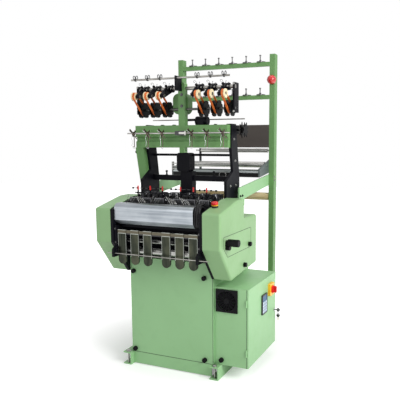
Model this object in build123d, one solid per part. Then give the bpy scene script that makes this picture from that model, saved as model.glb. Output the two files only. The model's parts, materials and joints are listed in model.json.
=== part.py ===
"""Six-head narrow-fabric needle loom, in millimetres.

X runs across the loom (+X is the side of the electrical cabinet), Y runs from the weaver to the rear stand
and Z is up. The pieces are drawn with Y measured from the front ends of the base channels, and saved with the
origin on the floor, at the centre of the anchor holes.
"""
import os
from math import atan2, cos, degrees, hypot, pi, radians, sin, sqrt

from build123d import *

os.makedirs("parts", exist_ok=True)

# Fits that all pieces share
running_fit = 0.05
seat_gap = 0.3
bolt_play = 0.5
overrun = 10.0

# Base frame
base_width = 700.0
base_length = 965.0
base_height = 86.0
channel_width = 60.0
channel_web = 6.0
channel_lip = 8.0
skirt_setback = 37.0
skirt_thickness = 6.0
skirt_lift = 5.0
skirt_seam = 2.0
anchor_hole = 14.0
anchor_inset = 90.0
level_bolt = 12.0
level_bolt_inset = 18.0
level_head = 20.0
level_head_height = 9.0
level_washer = 30.0
level_washer_thickness = 3.0
post_pad = 8.0

# Body box and its front panel
body_width = 600.0
body_depth = 600.0
body_top = 735.0
body_wall = 4.0
body_rim = 60.0
panel_thickness = 6.0
panel_sheet = 2.5
panel_knob_left = 27.0
panel_knob_right = 56.0
panel_knob_drop = 94.0
panel_knob_lift = 22.0

# Thumb knobs
knob_diameter = 30.0
knob_depth = 20.0
knob_round = 5.0
knob_stem = 8.0
knob_stem_length = 14.0

# Side plates and covers, outlines given as Y and Z
plate_thickness = 18.5
plate_top = 1115.0
cover_width = 116.0
cover_wall = 2.5
cover_round = 14.0
cover_front = -139.0
cover_nose_top = 1071.0
cover_nose_bottom = 857.0
cover_knee = 120.0
cover_knee_top = 1126.0
cover_top = 1130.0
cover_riser = 230.0
cover_step = 1005.0
cover_rear = 450.0
cover_rear_bottom = 677.0
cover_chin = 26.0
cover_chin_bottom = 643.0
cover_shade = 4.0
cover_knob_y = 223.0
cover_knob_z = 705.0

# Access hatch in the right cover
hatch_front = -95.0
hatch_rear = 341.0
hatch_bottom = 804.0
hatch_top = 931.0
hatch_corner = 60.0
hatch_seam = 1.0
hatch_flange = 6.0
hatch_flange_thickness = 2.0
hatch_knob_inset = 36.0
hatch_knob_lift = 22.0

# Bed between the side plates
bed_front = -60.0
bed_rear = 440.0
bed_top = 1056.0
bed_thickness = 16.0
apron_thickness = 10.0
apron_height = 106.0
reed_slot_front = -5.0
reed_slot_rear = 80.0
heald_slot_front = 140.0
heald_slot_rear = 262.0
slot_margin = 5.0
cheek_thickness = 15.0
cheek_front = -128.0
cheek_rear = -90.0
cheek_drop = 91.0
cheek_height = 195.0
ear_front = -160.0
ear_height = 48.0
ear_slope = 22.0
heald_guide = 12.0
heald_guide_drop = 26.0
heald_guide_height = 100.0
guard_y = 60.0
guard_thickness = 5.0
guard_drop = 116.0

# The six weaving heads
head_inner = 65.0
head_pitch = 92.0
heads_per_side = 3
head_width = 72.0
head_front = -36.0
head_depth = 26.0
head_height = 28.0
head_slot = 12.0
clip_post = 7.0
clip_post_y = 92.0
clip_post_height = 116.0
clip_shift = -12.0
clip_arm = 34.0
clip_width = 6.0
clip_depth = 9.0
clip_height = 28.0
comb_y = 296.0
comb_depth = 10.0
comb_lift = 30.0
comb_height = 9.0
comb_tooth = 3.0
comb_tooth_height = 34.0
comb_teeth = 5

# Reeds on their swinging sley
sley_shaft = 20.0
sley_y = 30.0
sley_drop = 71.0
sley_arm = 12.0
reed_width = 66.0
reed_lift = 6.0
reed_height = 68.0
reed_depth = 8.0
reed_rim = 5.0
reed_wire = 1.2
reed_gaps = 11

# Weft needles on their rocking shaft
needle_shaft = 14.0
needle_y = 62.0
needle_offset = 42.0
needle_thickness = 5.0
needle_arm = 8.0
needle_rise = 42.0
needle_bend = 34.0
needle_reach = 26.0

# Heald frames
heald_width = 64.0
heald_drop = 81.0
heald_height = 175.0
heald_rim = 4.0
heald_wire = 1.2
heald_gaps = 6
heald_sheet = 4.0
heald_pitch = 14.0
heald_count = 3
heald_front_y = 152.0
heald_rear_y = 216.0
heald_carrier = 15.0
heald_end = 10.0

# Breast cover and the cables beside it
breast_left_gap = 2.0
breast_right = 252.0
breast_front = -125.0
breast_back = -45.0
breast_rise = 46.0
breast_round = 34.0
breast_front_height = 100.0
breast_lip_back = 22.0
breast_lip_drop = 27.0
breast_sheet = 2.5
cable_diameter = 7.0
cable_count = 5
cable_margin = 8.0
cable_back = -50.0
cable_rise = 46.0
cable_front = -112.0
cable_fall = 72.0
cable_bend = 28.0

# Tape plates, their bar and the rod before them
tape_plate_width = 58.0
tape_plate_sheet = 2.5
tape_plate_front = -121.0
tape_plate_drop = 116.0
tape_plate_length = 217.0
tape_plate_rim = 9.0
tape_bar_height = 26.0
tape_bar_depth = 12.0
guide_rod = 6.0
guide_rod_y = -150.0
guide_rod_drop = 262.0
guide_rod_left = 337.0
guide_rod_right = 366.0

# Take-off roller
take_off_diameter = 46.0
take_off_journal = 20.0
take_off_y = 10.0
take_off_drop = 266.0
take_off_gap = 4.0

# Main shaft, crank and drive
main_shaft = 25.0
main_y = -60.0
main_z = 868.0
main_pulley = 110.0
pulley_width = 26.0
pulley_gap = 14.0
pulley_groove = 4.0
crank_gap = 3.0
crank_hub = 32.0
crank_hub_length = 24.0
crank_radius = 28.0
crank_angle = 85.0
crank_web = 10.0
grip_diameter = 44.0
grip_length = 70.0
grip_round = 4.0
motor_y = 220.0
motor_z = 830.0
motor_diameter = 140.0
motor_length = 190.0
motor_fins = 20
motor_fin_depth = 6.0
motor_foot_width = 120.0
motor_shaft = 19.0
motor_pulley_diameter = 70.0
drive_belt = 5.0

# Electrical cabinet on the right
cabinet_width = 230.5
cabinet_front = 57.0
cabinet_depth = 520.0
cabinet_top = 589.0
cabinet_wall = 2.5
door_thickness = 11.0
door_sheet = 2.5
door_seam = 1.0
cabinet_knob_inset = 51.0
cabinet_knob_lift = 33.0
hinge_barrel = 9.0
hinge_pin = 5.0
hinge_knuckle = 22.0
hinge_leaf = 3.0
hinge_leaf_width = 16.0
hinge_lift = 99.0
hinge_drop = 89.0
hinge_share = 0.5

# Fan in the cabinet's front
fan_side = 145.0
fan_inset = 87.5
fan_drop = 83.0
fan_depth = 9.0
fan_opening = 124.0
fan_ring_width = 3.0
fan_rings = 4
fan_bars = 8
fan_hub = 38.0
fan_spindle = 8.0
fan_spindle_length = 34.0
fan_rotor_hub = 44.0
fan_rotor_diameter = 112.0
fan_rotor_depth = 22.0
fan_blades = 7
fan_blade = 3.0
fan_blade_tilt = 35.0

# Controls on the cabinet door
switch_inset = 122.0
switch_drop = 92.0
switch_side = 82.0
switch_thickness = 18.0
switch_round = 8.0
switch_spindle = 12.0
handle_diameter = 52.0
handle_base = 10.0
handle_grip = 16.0
handle_grip_length = 46.0
handle_grip_height = 20.0
pad_inset = 242.0
pad_drop = 163.0
pad_width = 96.0
pad_height = 132.0
pad_depth = 9.0
pad_frame = 9.0
pad_recess = 2.0
pad_round = 6.0
pad_key_columns = 3
pad_key_rows = 4
pad_key = 18.0
pad_key_rise = 1.2
pad_screen_height = 38.0
lock_inset = 29.0
lock_drop = 264.0
lock_rose = 24.0
lock_rose_depth = 6.0
lock_barrel = 16.0
lock_barrel_length = 26.0
key_plug = 10.0
key_shank = 12.0
key_head = 24.0
key_head_thickness = 5.0
key_ring = 16.0
key_ring_wire = 2.0
spare_blade = 28.0
spare_blade_width = 5.0
spare_blade_thickness = 2.0

# Stop button on the right cover
stop_x = 346.0
stop_y = -20.0
stop_base = 40.0
stop_base_height = 16.0
stop_stem = 22.0
stop_stem_length = 12.0
stop_travel = 4.0
stop_head = 42.0
stop_head_height = 13.0
stop_round = 5.0

# Rear stand
post_width = 40.0
post_depth = 60.0
post_wall = 3.0
post_top = 2117.0
post_y = 905.0
beam_side = 30.0
beam_high = 2033.0
beam_low = 1797.0
pin_inner = 56.0
pin_pitch = 112.0
pins_per_side = 3
pin_base = 54.0
pin_base_height = 7.0
pin_cone = 24.0
pin_cone_height = 14.0
pin_diameter = 8.0
pin_height = 54.0
pin_tip = 14.0
pin_tip_height = 8.0
lamp_z = 1933.0
lamp_diameter = 66.0
lamp_base = 14.0
lamp_dome = 36.0
lamp_cheek_share = 0.72
lamp_shoulder_share = 0.68
brace_thickness = 10.0
brace_front = 330.0
brace_front_bottom = 1062.0
brace_front_top = 1185.0
brace_front_width = 90.0
brace_rear_bottom = 1170.0
brace_rear_top = 1247.0
brace_neck = 1108.0
brace_leg_gap = 12.0

# Rear panel and rollers
rear_panel_bottom = 1443.0
rear_panel_top = 1610.0
rear_panel_sheet = 4.0
rear_panel_flange = 24.0
steel_roller = 33.0
steel_roller_z = 1420.0
steel_roller_left = 215.0
steel_roller_right = 340.0
steel_axle = 12.0
steel_axle_left = 262.0
stay_width = 14.0
stay_depth = 14.0
rail_thickness = 12.0
rail_front = 709.0
rail_front_bottom = 1231.0
rail_front_top = 1290.0
rail_rear_bottom = 1262.0
rail_rear_top = 1362.0
rail_bar_depth = 34.0
rail_bar_height = 46.0
dark_roller = 44.0
dark_roller_y = 862.0
dark_roller_z = 1316.0
dark_axle = 14.0
roller_end_gap = 4.0
wood_roller = 58.0
wood_roller_z = 1075.0
wood_axle = 16.0

# Black support posts over the side plates
support_base_front = 213.0
support_base_rear = 425.0
support_base_top = 1230.0
support_neck_front = 320.0
support_neck_z = 1294.0
support_rear_z = 1256.0
support_seat_y = 292.0
support_seat_z = 1440.0
support_top = 1597.0
support_top_rear = 370.0
support_lug_rear = 425.0
support_lug_height = 56.0
cross_bar_y = 360.0
thin_bar = 16.0
thin_bar_z = 1396.0
thick_bar = 30.0
thick_bar_height = 36.0
thick_bar_z = 1239.0
column_left = 74.0
column_right = 12.0
column_depth = 60.0
column_head_left = 93.0
column_head_right = 3.0
column_head_bottom = 1285.0
column_head_top = 1410.0
column_head_round = 18.0

# Front beam and its left leg
beam_left = 371.0
beam_right = 310.0
beam_front = 245.0
beam_bottom = 1445.0
beam_top = 1590.0
beam_band_top = 1516.0
beam_band_bottom = 1489.0
beam_band_depth = 17.0
beam_lower_set = 5.0
beam_lip = 4.0
leg_width = 59.0
leg_front_bottom = 340.0
leg_bottom = 1030.0

# Feeler bar before the front beam
feeler_bar = 10.0
feeler_bar_y = 200.0
feeler_bar_z = 1538.0
feeler_bar_left = 405.0
feeler_bar_right = 345.0
clamp_left = 35.0
clamp_right = 44.0
clamp_height = 28.0
clamp_front = 12.0
feeler_pitch = 110.0
feeler_shift = -30.0
feeler_middle = 216.0
feeler_hub = 24.0
feeler_hub_width = 14.0
feeler_lever = 44.0
feeler_lever_width = 12.0
feeler_lever_tilt = 35.0
feeler_cross = 50.0
feeler_cross_tilt = 50.0
feeler_wire = 4.0
feeler_wire_drop = 90.0

# Star-wheel shaft behind the front beam
star_y = 400.0
star_z = 1560.0
star_shaft = 14.0
star_wheel = 84.0
star_wheel_width = 10.0
star_lobes = 8
star_bite = 9.0
end_star = 104.0
end_star_root = 56.0
end_star_hub = 46.0
star_end_gap = 26.0
star_end_width = 30.0

# Yarn feeder above the front beam
mast_left = 38.0
mast_right = 8.0
mast_depth = 43.0
mast_top = 1862.0
mast_round = 12.0
gearbox_left = 95.0
gearbox_right = 18.0
gearbox_bottom = 1662.0
gearbox_top = 1796.0
gearbox_depth = 50.0
gearbox_round = 40.0
feeder_y = 270.0
feed_shaft = 16.0
feed_shaft_z = 1693.0
feeder_bar = 25.0
feeder_bar_z = 1826.0
end_plate_gap = 345.0
end_plate = 12.0
end_plate_front = 250.0
end_plate_depth = 70.0
end_plate_bottom = 1665.0
end_plate_top = 1850.0
feeder_inner = 134.0
drum_disc = 102.0
drum_disc_width = 6.0
drum_disc_gap = 30.0
drum_hub = 60.0
drum_lobes = 8
drum_bite = 7.0
idler_y = 172.0
idler_z = 1776.0
idler_pulley = 46.0
idler_pulley_width = 16.0
idler_shaft = 10.0
idler_flange = 56.0
idler_flange_width = 8.0
idler_nut = 20.0
idler_nut_width = 7.0
belt_width = 14.0
belt_thickness = 3.0
bracket_width = 20.0
bracket_offset = 14.0
bracket_arm = 28.0
bracket_boss = 46.0
bracket_horn = 26.0
bracket_horn_rise = 40.0
clamp_ring = 46.0
clamp_ring_width = 14.0
yarn_rod = 12.0
yarn_rod_y = 180.0
yarn_rod_z = 1883.0
yarn_rod_left = 350.0
yarn_rod_right = 355.0
yarn_ring = 26.0
yarn_ring_hole = 18.0
yarn_ring_width = 3.0
yarn_ring_gap = 20.0
yarn_collar = 20.0
yarn_collar_width = 8.0
rod_bracket_left = 19.0
rod_bracket_right = 10.0
rod_bracket_bottom = 1806.0
rod_bracket_rise = 14.0
rear_rod = 8.0
rear_rod_y = 415.0
rear_rod_z = 1632.0
rear_rod_left = 335.0
rear_rod_right = 360.0
rear_arm = 16.0
rear_arm_width = 20.0
feed_motor = 62.0
feed_motor_left = 52.0
feed_motor_right = 138.0
feed_motor_y = 326.0
feed_motor_z = 1618.0
feed_motor_foot = 30.0

# Places worked out from the sizes above
side_in = body_width / 2
side_out = side_in + plate_thickness
cover_out = side_out + cover_width
channel_out = base_width / 2
channel_in = channel_out - channel_width
post_in = channel_out + post_pad
post_out = post_in + post_width
post_mid_y = post_y + post_depth / 2
panel_back = skirt_setback + panel_thickness
cabinet_right = side_in + cabinet_width
door_left = cabinet_right - door_thickness
hinge_x = door_left - door_seam * hinge_share
hinge_y = cabinet_front - hinge_barrel / 2 - seat_gap
end_plate_out = end_plate_gap + end_plate
apron_front = bed_front - apron_thickness
bed_bottom = bed_top - bed_thickness
apron_bottom = bed_top - apron_height
cheek_top = bed_top - cheek_drop
cheek_bottom = cheek_top - cheek_height
ear_top = cheek_bottom + ear_height
heald_guide_top = bed_top - heald_guide_drop
heald_guide_bottom = heald_guide_top - heald_guide_height
clip_post_top = bed_top + clip_post_height
comb_bottom = bed_top + comb_lift
sley_z = bed_top - sley_drop
reed_bottom = bed_top + reed_lift
needle_elbow = bed_top + needle_rise
heald_bottom = bed_top - heald_drop
heald_top = heald_bottom + heald_height
breast_top = bed_top + breast_rise
breast_front_bottom = breast_top - breast_front_height
cable_drop = bed_top - cable_fall
tape_plate_top = bed_top - tape_plate_drop
tape_plate_bottom = tape_plate_top - tape_plate_length
tape_bar_front = tape_plate_front + tape_plate_sheet
tape_bar_top = tape_plate_top - tape_plate_sheet
guide_rod_z = bed_top - guide_rod_drop
take_off_z = bed_top - take_off_drop
cabinet_rear = cabinet_front + cabinet_depth
fan_centre_x = side_in + fan_inset
fan_centre_z = cabinet_top - fan_drop
switch_y = cabinet_rear - switch_inset
switch_z = cabinet_top - switch_drop
pad_y = cabinet_rear - pad_inset
pad_z = cabinet_top - pad_drop
lock_y = cabinet_rear - lock_inset
lock_z = cabinet_top - lock_drop
cabinet_knob_x = side_in + cabinet_knob_inset
cabinet_knob_z = base_height + cabinet_knob_lift
hinge_low = base_height + hinge_lift
hinge_high = cabinet_top - hinge_drop
leg_depth = support_seat_y - beam_front - beam_lower_set


def both_sides(first, pitch, count):
    """Places along X, mirrored about the loom's middle, from left to right."""
    right = [first + pitch * index for index in range(count)]
    return [-x for x in reversed(right)] + right


heads = both_sides(head_inner, head_pitch, heads_per_side)
feeders = both_sides(feeder_inner, head_pitch, heads_per_side)
yarn_pins = both_sides(pin_inner, pin_pitch, pins_per_side)
feelers = [feeler_shift - feeler_middle / 2 - feeler_pitch * index for index in (2, 1, 0)]
feelers += [feeler_shift + feeler_middle / 2 + feeler_pitch * index for index in (0, 1, 2)]


# Small tools for drawing and saving

def save(name, *pieces):
    """Write the solids of one node, moved to the origin between the anchor holes."""
    solids = [solid for piece in pieces for solid in piece.solids()]
    shape = solids[0] if len(solids) == 1 else Compound(solids)
    export_step(Pos(0, -base_length / 2, 0) * shape, f"parts/{name}.step")


def plate_x(sketch, x0, x1):
    """Extrude a sketch drawn in Y and Z from x0 to x1."""
    return extrude(Plane((x0, 0, 0), x_dir=(0, 1, 0), z_dir=(1, 0, 0)) * sketch, x1 - x0)


def plate_y(sketch, y0, y1):
    """Extrude a sketch drawn in X and Z from y0 to y1."""
    return extrude(Plane((0, y1, 0), x_dir=(1, 0, 0), z_dir=(0, -1, 0)) * sketch, y1 - y0)


def plate_z(sketch, z0, z1):
    """Extrude a sketch drawn in X and Y from z0 to z1."""
    return extrude(Plane((0, 0, z0)) * sketch, z1 - z0)


def block(x0, x1, y0, y1, z0, z1):
    return Pos((x0 + x1) / 2, (y0 + y1) / 2, (z0 + z1) / 2) * Box(x1 - x0, y1 - y0, z1 - z0)


def rod_x(diameter, x0, x1, y, z):
    return plate_x(Pos(y, z) * Circle(diameter / 2), x0, x1)


def rod_y(diameter, x, y0, y1, z):
    return plate_y(Pos(x, z) * Circle(diameter / 2), y0, y1)


def rod_z(diameter, x, y, z0, z1):
    return plate_z(Pos(x, y) * Circle(diameter / 2), z0, z1)


def bore_x(diameter, x0, x1, y, z, play=running_fit):
    """A cut for a shaft along X, with radial play, past both faces."""
    return rod_x(diameter + 2 * play, x0 - overrun, x1 + overrun, y, z)


def outline(*points):
    return make_face(Polyline(*points, close=True))


def rectangle(a0, a1, b0, b1):
    return Pos((a0 + a1) / 2, (b0 + b1) / 2) * Rectangle(a1 - a0, b1 - b0)


def mirrored(piece):
    return mirror(piece, Plane.YZ)


def lobed_disc(diameter, bite, count):
    """A disc whose rim is scalloped by round bites."""
    return Circle(diameter / 2) - PolarLocations(diameter / 2, count) * Circle(bite)


def star_disc(diameter, root, count):
    """A star of straight points between a root circle and a tip circle."""
    half = pi / count
    points = []
    for index in range(count):
        angle = 2 * half * index
        points.append((diameter / 2 * cos(angle), diameter / 2 * sin(angle)))
        points.append((root / 2 * cos(angle + half), root / 2 * sin(angle + half)))
    return outline(*points)


# Base frame, body and panel

def channel():
    """The right channel, open towards the loom's middle."""
    section = rectangle(channel_in, channel_out, 0, base_height)
    section -= rectangle(channel_in - overrun, channel_out - channel_web, channel_lip,
                         base_height - channel_lip)
    return plate_y(section, 0, base_length)


def base_frame():
    right = channel()
    left = Pos(-2 * channel_out + channel_width, 0, 0) * right
    frame = left + right
    for y in (skirt_setback, base_length - skirt_setback - skirt_thickness):
        frame += block(-channel_in, channel_in, y, y + skirt_thickness, skirt_lift, base_height - skirt_seam)
    pad = block(channel_out, post_in, post_y, base_length, 0, base_height)
    frame += pad + mirrored(pad)
    for x in level_places():
        for y in (anchor_inset, base_length - anchor_inset):
            frame -= rod_z(anchor_hole, x, y, -overrun, channel_lip + overrun)
        for y in level_rows():
            frame -= rod_z(level_bolt + 2 * bolt_play, x, y, -overrun, base_height + overrun)
    return frame


def level_places():
    middle = channel_out - channel_width / 2
    return (-middle, middle)


def level_rows():
    return (level_bolt_inset, base_length - level_bolt_inset)


def levelling_bolt(x, y):
    washer_top = base_height + level_washer_thickness
    bolt = rod_z(level_bolt, x, y, 0, base_height)
    bolt += rod_z(level_washer, x, y, base_height, washer_top)
    head = Pos(x, y) * RegularPolygon(level_head / 2, 6, major_radius=False)
    return bolt + plate_z(head, washer_top, washer_top + level_head_height)


def knob_places_on_panel():
    columns = (panel_knob_left - side_in, side_in - panel_knob_right)
    rows = (base_height + panel_knob_lift, body_top - panel_knob_drop)
    return [(x, z) for x in columns for z in rows]


def body_frame():
    rear = panel_back + body_depth
    body = block(-side_in, side_in, panel_back, rear, base_height, body_top)
    body -= block(-side_in + body_wall, side_in - body_wall, panel_back + body_wall, rear - body_wall,
                  base_height - overrun, body_top - body_wall)
    body -= block(-side_in + body_rim, side_in - body_rim, panel_back - overrun, panel_back + body_rim,
                  base_height + body_rim, body_top - body_rim)
    for x, z in knob_places_on_panel():
        body -= rod_y(knob_stem + 2 * bolt_play, x, panel_back - overrun, panel_back + overrun, z)
    return body


def front_panel():
    panel = block(-side_in, side_in, skirt_setback, panel_back, base_height, body_top)
    panel -= block(-side_in + panel_sheet, side_in - panel_sheet, skirt_setback + panel_sheet,
                   panel_back + overrun,
                   base_height + panel_sheet, body_top - panel_sheet)
    for x, z in knob_places_on_panel():
        panel -= rod_y(knob_stem + 2 * bolt_play, x, skirt_setback - overrun, panel_back + overrun, z)
    return panel


def thumb_knob():
    """A ribbed knob on its stem: the seat is at the origin and the knob stands out along -Y."""
    cap = plate_y(Circle(knob_diameter / 2), -knob_depth, 0)
    cap = fillet(cap.faces().sort_by(Axis.Y)[0].edges(), knob_round)
    return cap + rod_y(knob_stem, 0, 0, knob_stem_length, 0)


def thumb_knobs():
    knobs = [Pos(x, skirt_setback, z) * thumb_knob() for x, z in knob_places_on_panel()]
    knobs.append(Pos(cabinet_knob_x, cabinet_front, cabinet_knob_z) * thumb_knob())
    hatch_y, hatch_z = hatch_knob_place()
    for y, z in ((cover_knob_y, cover_knob_z), (hatch_y, hatch_z)):
        knobs.append(Pos(cover_out, y, z) * Rot(0, 0, 90) * thumb_knob())
        knobs.append(Pos(-cover_out, y, z) * Rot(0, 0, -90) * thumb_knob())
    return knobs


def hatch_knob_place():
    return (hatch_rear - hatch_knob_inset, hatch_bottom + hatch_knob_lift)


# Side plates, covers and bed

def cover_outline():
    return outline((cover_front, cover_nose_bottom), (cover_front, cover_nose_top),
                   (cover_knee, cover_knee_top),
                   (cover_riser, cover_top), (cover_riser, cover_step), (cover_rear, cover_step),
                   (cover_rear, cover_rear_bottom), (cover_chin, cover_chin_bottom))


def plate_outline():
    return outline((cover_front, cover_nose_bottom), (cover_front, cover_nose_top - cover_shade),
                   (cover_knee, plate_top), (cover_rear, plate_top), (cover_rear, cover_rear_bottom),
                   (cover_chin, cover_chin_bottom))


def side_plate():
    plate = plate_x(plate_outline(), side_in, side_out)
    for diameter, y, z in ((main_shaft, main_y, main_z), (take_off_journal, take_off_y, take_off_z),
                           (sley_shaft, sley_y, sley_z), (needle_shaft, needle_y, sley_z)):
        plate -= bore_x(diameter, side_in, side_out, y, z)
    return plate


def bed():
    deck = block(-side_in, side_in, bed_front, bed_rear, bed_bottom, bed_top)
    for y0, y1 in ((reed_slot_front, reed_slot_rear), (heald_slot_front, heald_slot_rear)):
        deck -= block(-side_in + slot_margin, side_in - slot_margin, y0, y1, bed_bottom - overrun,
                      bed_top + overrun)
    return deck + block(-side_in, side_in, apron_front, bed_front, apron_bottom, bed_top)


def cheek():
    sketch = outline((cheek_front, cheek_top), (cheek_rear, cheek_top), (cheek_rear, cheek_bottom),
                     (ear_front, cheek_bottom), (ear_front, ear_top), (cheek_front, ear_top + ear_slope))
    plate = plate_x(sketch, side_in - cheek_thickness, side_in)
    return plate - bore_x(guide_rod, side_in - cheek_thickness, side_in, guide_rod_y, guide_rod_z)


def inner_guard():
    """The black sheet behind the tape plates, which stands on the body."""
    return block(-side_in, side_in, guard_y, guard_y + guard_thickness, body_top, bed_top - guard_drop)


def heald_guide_block():
    return block(side_in - heald_guide, side_in, heald_slot_front, heald_slot_rear,
                 heald_guide_bottom, heald_guide_top)


def weaving_frame():
    left = mirrored(side_plate()) - bore_x(motor_shaft, -side_out, -side_in, motor_y, motor_z)
    pieces = [side_plate(), left, bed(), inner_guard()]
    for piece in (cheek(), heald_guide_block()):
        pieces += [piece, mirrored(piece)]
    return pieces


def rounded_hull(sketch, x0, x1, radius):
    hull = plate_x(sketch, x0, x1)
    return fillet(hull.faces().sort_by(Axis.X)[-1].edges(), radius)


def cover_shell():
    """The right cover, a hollow hull that is open towards its side plate."""
    sketch = fillet(cover_outline().vertices(), cover_round + cover_wall)
    shell = rounded_hull(sketch, side_out, cover_out, cover_round)
    hollow = offset(sketch, amount=-cover_wall)
    shell -= rounded_hull(hollow, side_out - overrun, cover_out - cover_wall, cover_round - cover_wall)
    return shell - knob_hole_x(cover_knob_y, cover_knob_z)


def knob_hole_x(y, z):
    return rod_x(knob_stem + 2 * bolt_play, cover_out - cover_wall - overrun, cover_out + overrun, y, z)


def side_cover_left():
    hatch_y, hatch_z = hatch_knob_place()
    return mirrored(cover_shell() - knob_hole_x(hatch_y, hatch_z))


def hatch_outline(margin):
    """The hatch, its lower front corner cut along the cover's chin, grown by a margin."""
    front = hatch_front - margin
    rear = hatch_rear + margin
    low = hatch_bottom - margin
    high = hatch_top + margin
    return outline((front, high), (rear, high), (rear, low), (front + hatch_corner, low),
                   (front, low + hatch_corner))


def side_cover_right():
    shell = cover_shell() - plate_x(hatch_outline(0), cover_out - cover_wall - overrun, cover_out + overrun)
    seat = stop_seat()
    return shell - rod_z(stop_stem + 2 * bolt_play, stop_x, stop_y, seat - overrun - cover_wall,
                         seat + overrun)


def access_hatch():
    face = cover_out - cover_wall
    hatch = plate_x(hatch_outline(-hatch_seam), face, cover_out)
    hatch += plate_x(hatch_outline(hatch_flange), face - hatch_flange_thickness, face)
    hatch -= bore_x(main_shaft, face, cover_out, main_y, main_z, bolt_play)
    hatch_y, hatch_z = hatch_knob_place()
    return hatch - knob_hole_x(hatch_y, hatch_z)


# Main shaft and drive

def grooved_pulley(diameter, x0, x1, y, z):
    pulley = rod_x(diameter, x0, x1, y, z)
    third = (x1 - x0) / 4
    rim = rod_x(diameter + overrun, x0 + third, x1 - third, y, z)
    return pulley - (rim - rod_x(diameter - 2 * pulley_groove, x0 + third, x1 - third, y, z))


def pulley_span():
    return (-side_out - pulley_gap - pulley_width, -side_out - pulley_gap)


def main_shaft_piece():
    x0, x1 = pulley_span()
    shaft = rod_x(main_shaft, x0, cover_out + crank_gap, main_y, main_z)
    return shaft + grooved_pulley(main_pulley, x0, x1, main_y, main_z)


def hand_crank():
    x0 = cover_out + crank_gap
    x1 = x0 + crank_hub_length
    grip_y = main_y + crank_radius * cos(radians(crank_angle))
    grip_z = main_z + crank_radius * sin(radians(crank_angle))
    hub = rod_x(crank_hub, x0, x1, main_y, main_z)
    web = make_hull((Pos(main_y, main_z) * Circle(crank_hub / 2)).edges()
                    + (Pos(grip_y, grip_z) * Circle(crank_hub / 2)).edges())
    crank = hub + plate_x(web, x0, x0 + crank_web)
    grip = rod_x(grip_diameter, x0 + crank_web, x0 + crank_web + grip_length, grip_y, grip_z)
    ends = grip.faces().filter_by(Plane.YZ).edges()
    return crank + fillet(ends, grip_round)


def drive_motor():
    x1 = -side_in
    x0 = x1 + motor_length
    case = rod_x(motor_diameter, x1, x0, motor_y, motor_z)
    groove = Rectangle(2 * motor_fin_depth, motor_fin_depth)
    grooves = Sketch() + PolarLocations(motor_diameter / 2, motor_fins) * groove
    sixth = motor_length / 6
    case -= plate_x(Pos(motor_y, motor_z) * grooves, x1 + sixth, x0 - sixth)
    foot = block(x1 + sixth, x0 - sixth, motor_y - motor_foot_width / 2, motor_y + motor_foot_width / 2,
                 body_top, motor_z - motor_diameter / 2 + 2 * motor_fin_depth)
    case += foot
    return case - bore_x(motor_shaft, x1, x0, motor_y, motor_z)


def motor_pulley():
    x0, x1 = pulley_span()
    shaft = rod_x(motor_shaft, x0, -side_in + motor_length / 2, motor_y, motor_z)
    return shaft + grooved_pulley(motor_pulley_diameter, x0, x1, motor_y, motor_z)


def belt_loop(first, second, thickness, x0, x1):
    """A belt round two wheels, each given as Y, Z and radius."""
    def loop(extra):
        rounds = [(Pos(y, z) * Circle(radius + extra)).edges() for y, z, radius in (first, second)]
        return make_hull(rounds[0] + rounds[1])
    return plate_x(loop(thickness) - loop(0), x0, x1)


def drive_belt_piece():
    x0, x1 = pulley_span()
    third = (x1 - x0) / 4
    small = motor_pulley_diameter / 2 - pulley_groove + seat_gap
    large = main_pulley / 2 - pulley_groove + seat_gap
    return belt_loop((main_y, main_z, large), (motor_y, motor_z, small), drive_belt,
                     x0 + third + seat_gap, x1 - third - seat_gap)


# Weaving heads

def weaving_heads():
    pieces = []
    for x in heads:
        half = head_width / 2
        head = block(x - half, x + half, head_front, head_front + head_depth, bed_top, bed_top + head_height)
        head -= block(x - half + head_slot, x + half - head_slot, head_front + head_slot,
                      head_front + 2 * head_depth,
                      bed_top + head_slot, bed_top + head_height + overrun)
        post_x = x + clip_shift
        post = block(post_x - clip_post / 2, post_x + clip_post / 2, clip_post_y - clip_post / 2,
                     clip_post_y + clip_post / 2, bed_top, clip_post_top)
        post += block(x - clip_arm, x + clip_arm, clip_post_y - clip_post / 2, clip_post_y + clip_post / 2,
                      clip_post_top - 3 * clip_post, clip_post_top - 2 * clip_post)
        pieces += [head, post]
    return pieces + [warp_comb()]


def warp_comb():
    comb = rectangle(-side_in, side_in, comb_bottom, comb_bottom + comb_height)
    for x in heads:
        pitch = head_width / comb_teeth
        for index in range(comb_teeth):
            tooth = x + pitch * (index - (comb_teeth - 1) / 2)
            comb += rectangle(tooth - comb_tooth / 2, tooth + comb_tooth / 2, comb_bottom,
                              comb_bottom + comb_height + comb_tooth_height)
    return plate_y(comb, comb_y, comb_y + comb_depth)


def red_clips():
    return [block(x - clip_width / 2, x + clip_width / 2, clip_post_y - clip_depth / 2,
                  clip_post_y + clip_depth / 2,
                  clip_post_top, clip_post_top + clip_height)
            for x in [head + clip_shift for head in heads]]


def slotted_sheet(x, width, z0, z1, rim, wire, gaps):
    """A rectangle with a row of tall windows, whose bars are the wires."""
    sheet = rectangle(x - width / 2, x + width / 2, z0, z1)
    window = (width - 2 * rim - (gaps - 1) * wire) / gaps
    for index in range(gaps):
        left = x - width / 2 + rim + index * (window + wire)
        sheet -= rectangle(left, left + window, z0 + rim, z1 - rim)
    return sheet


def reed_sley():
    sley = rod_x(sley_shaft, -side_out, side_out, sley_y, sley_z)
    for x in heads:
        sley += block(x - sley_arm / 2, x + sley_arm / 2, sley_y - reed_depth / 2, sley_y + reed_depth / 2,
                      sley_z, reed_bottom)
        reed = slotted_sheet(x, reed_width, reed_bottom, reed_bottom + reed_height, reed_rim, reed_wire,
                             reed_gaps)
        sley += plate_y(reed, sley_y - reed_depth / 2, sley_y + reed_depth / 2)
    return sley


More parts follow.
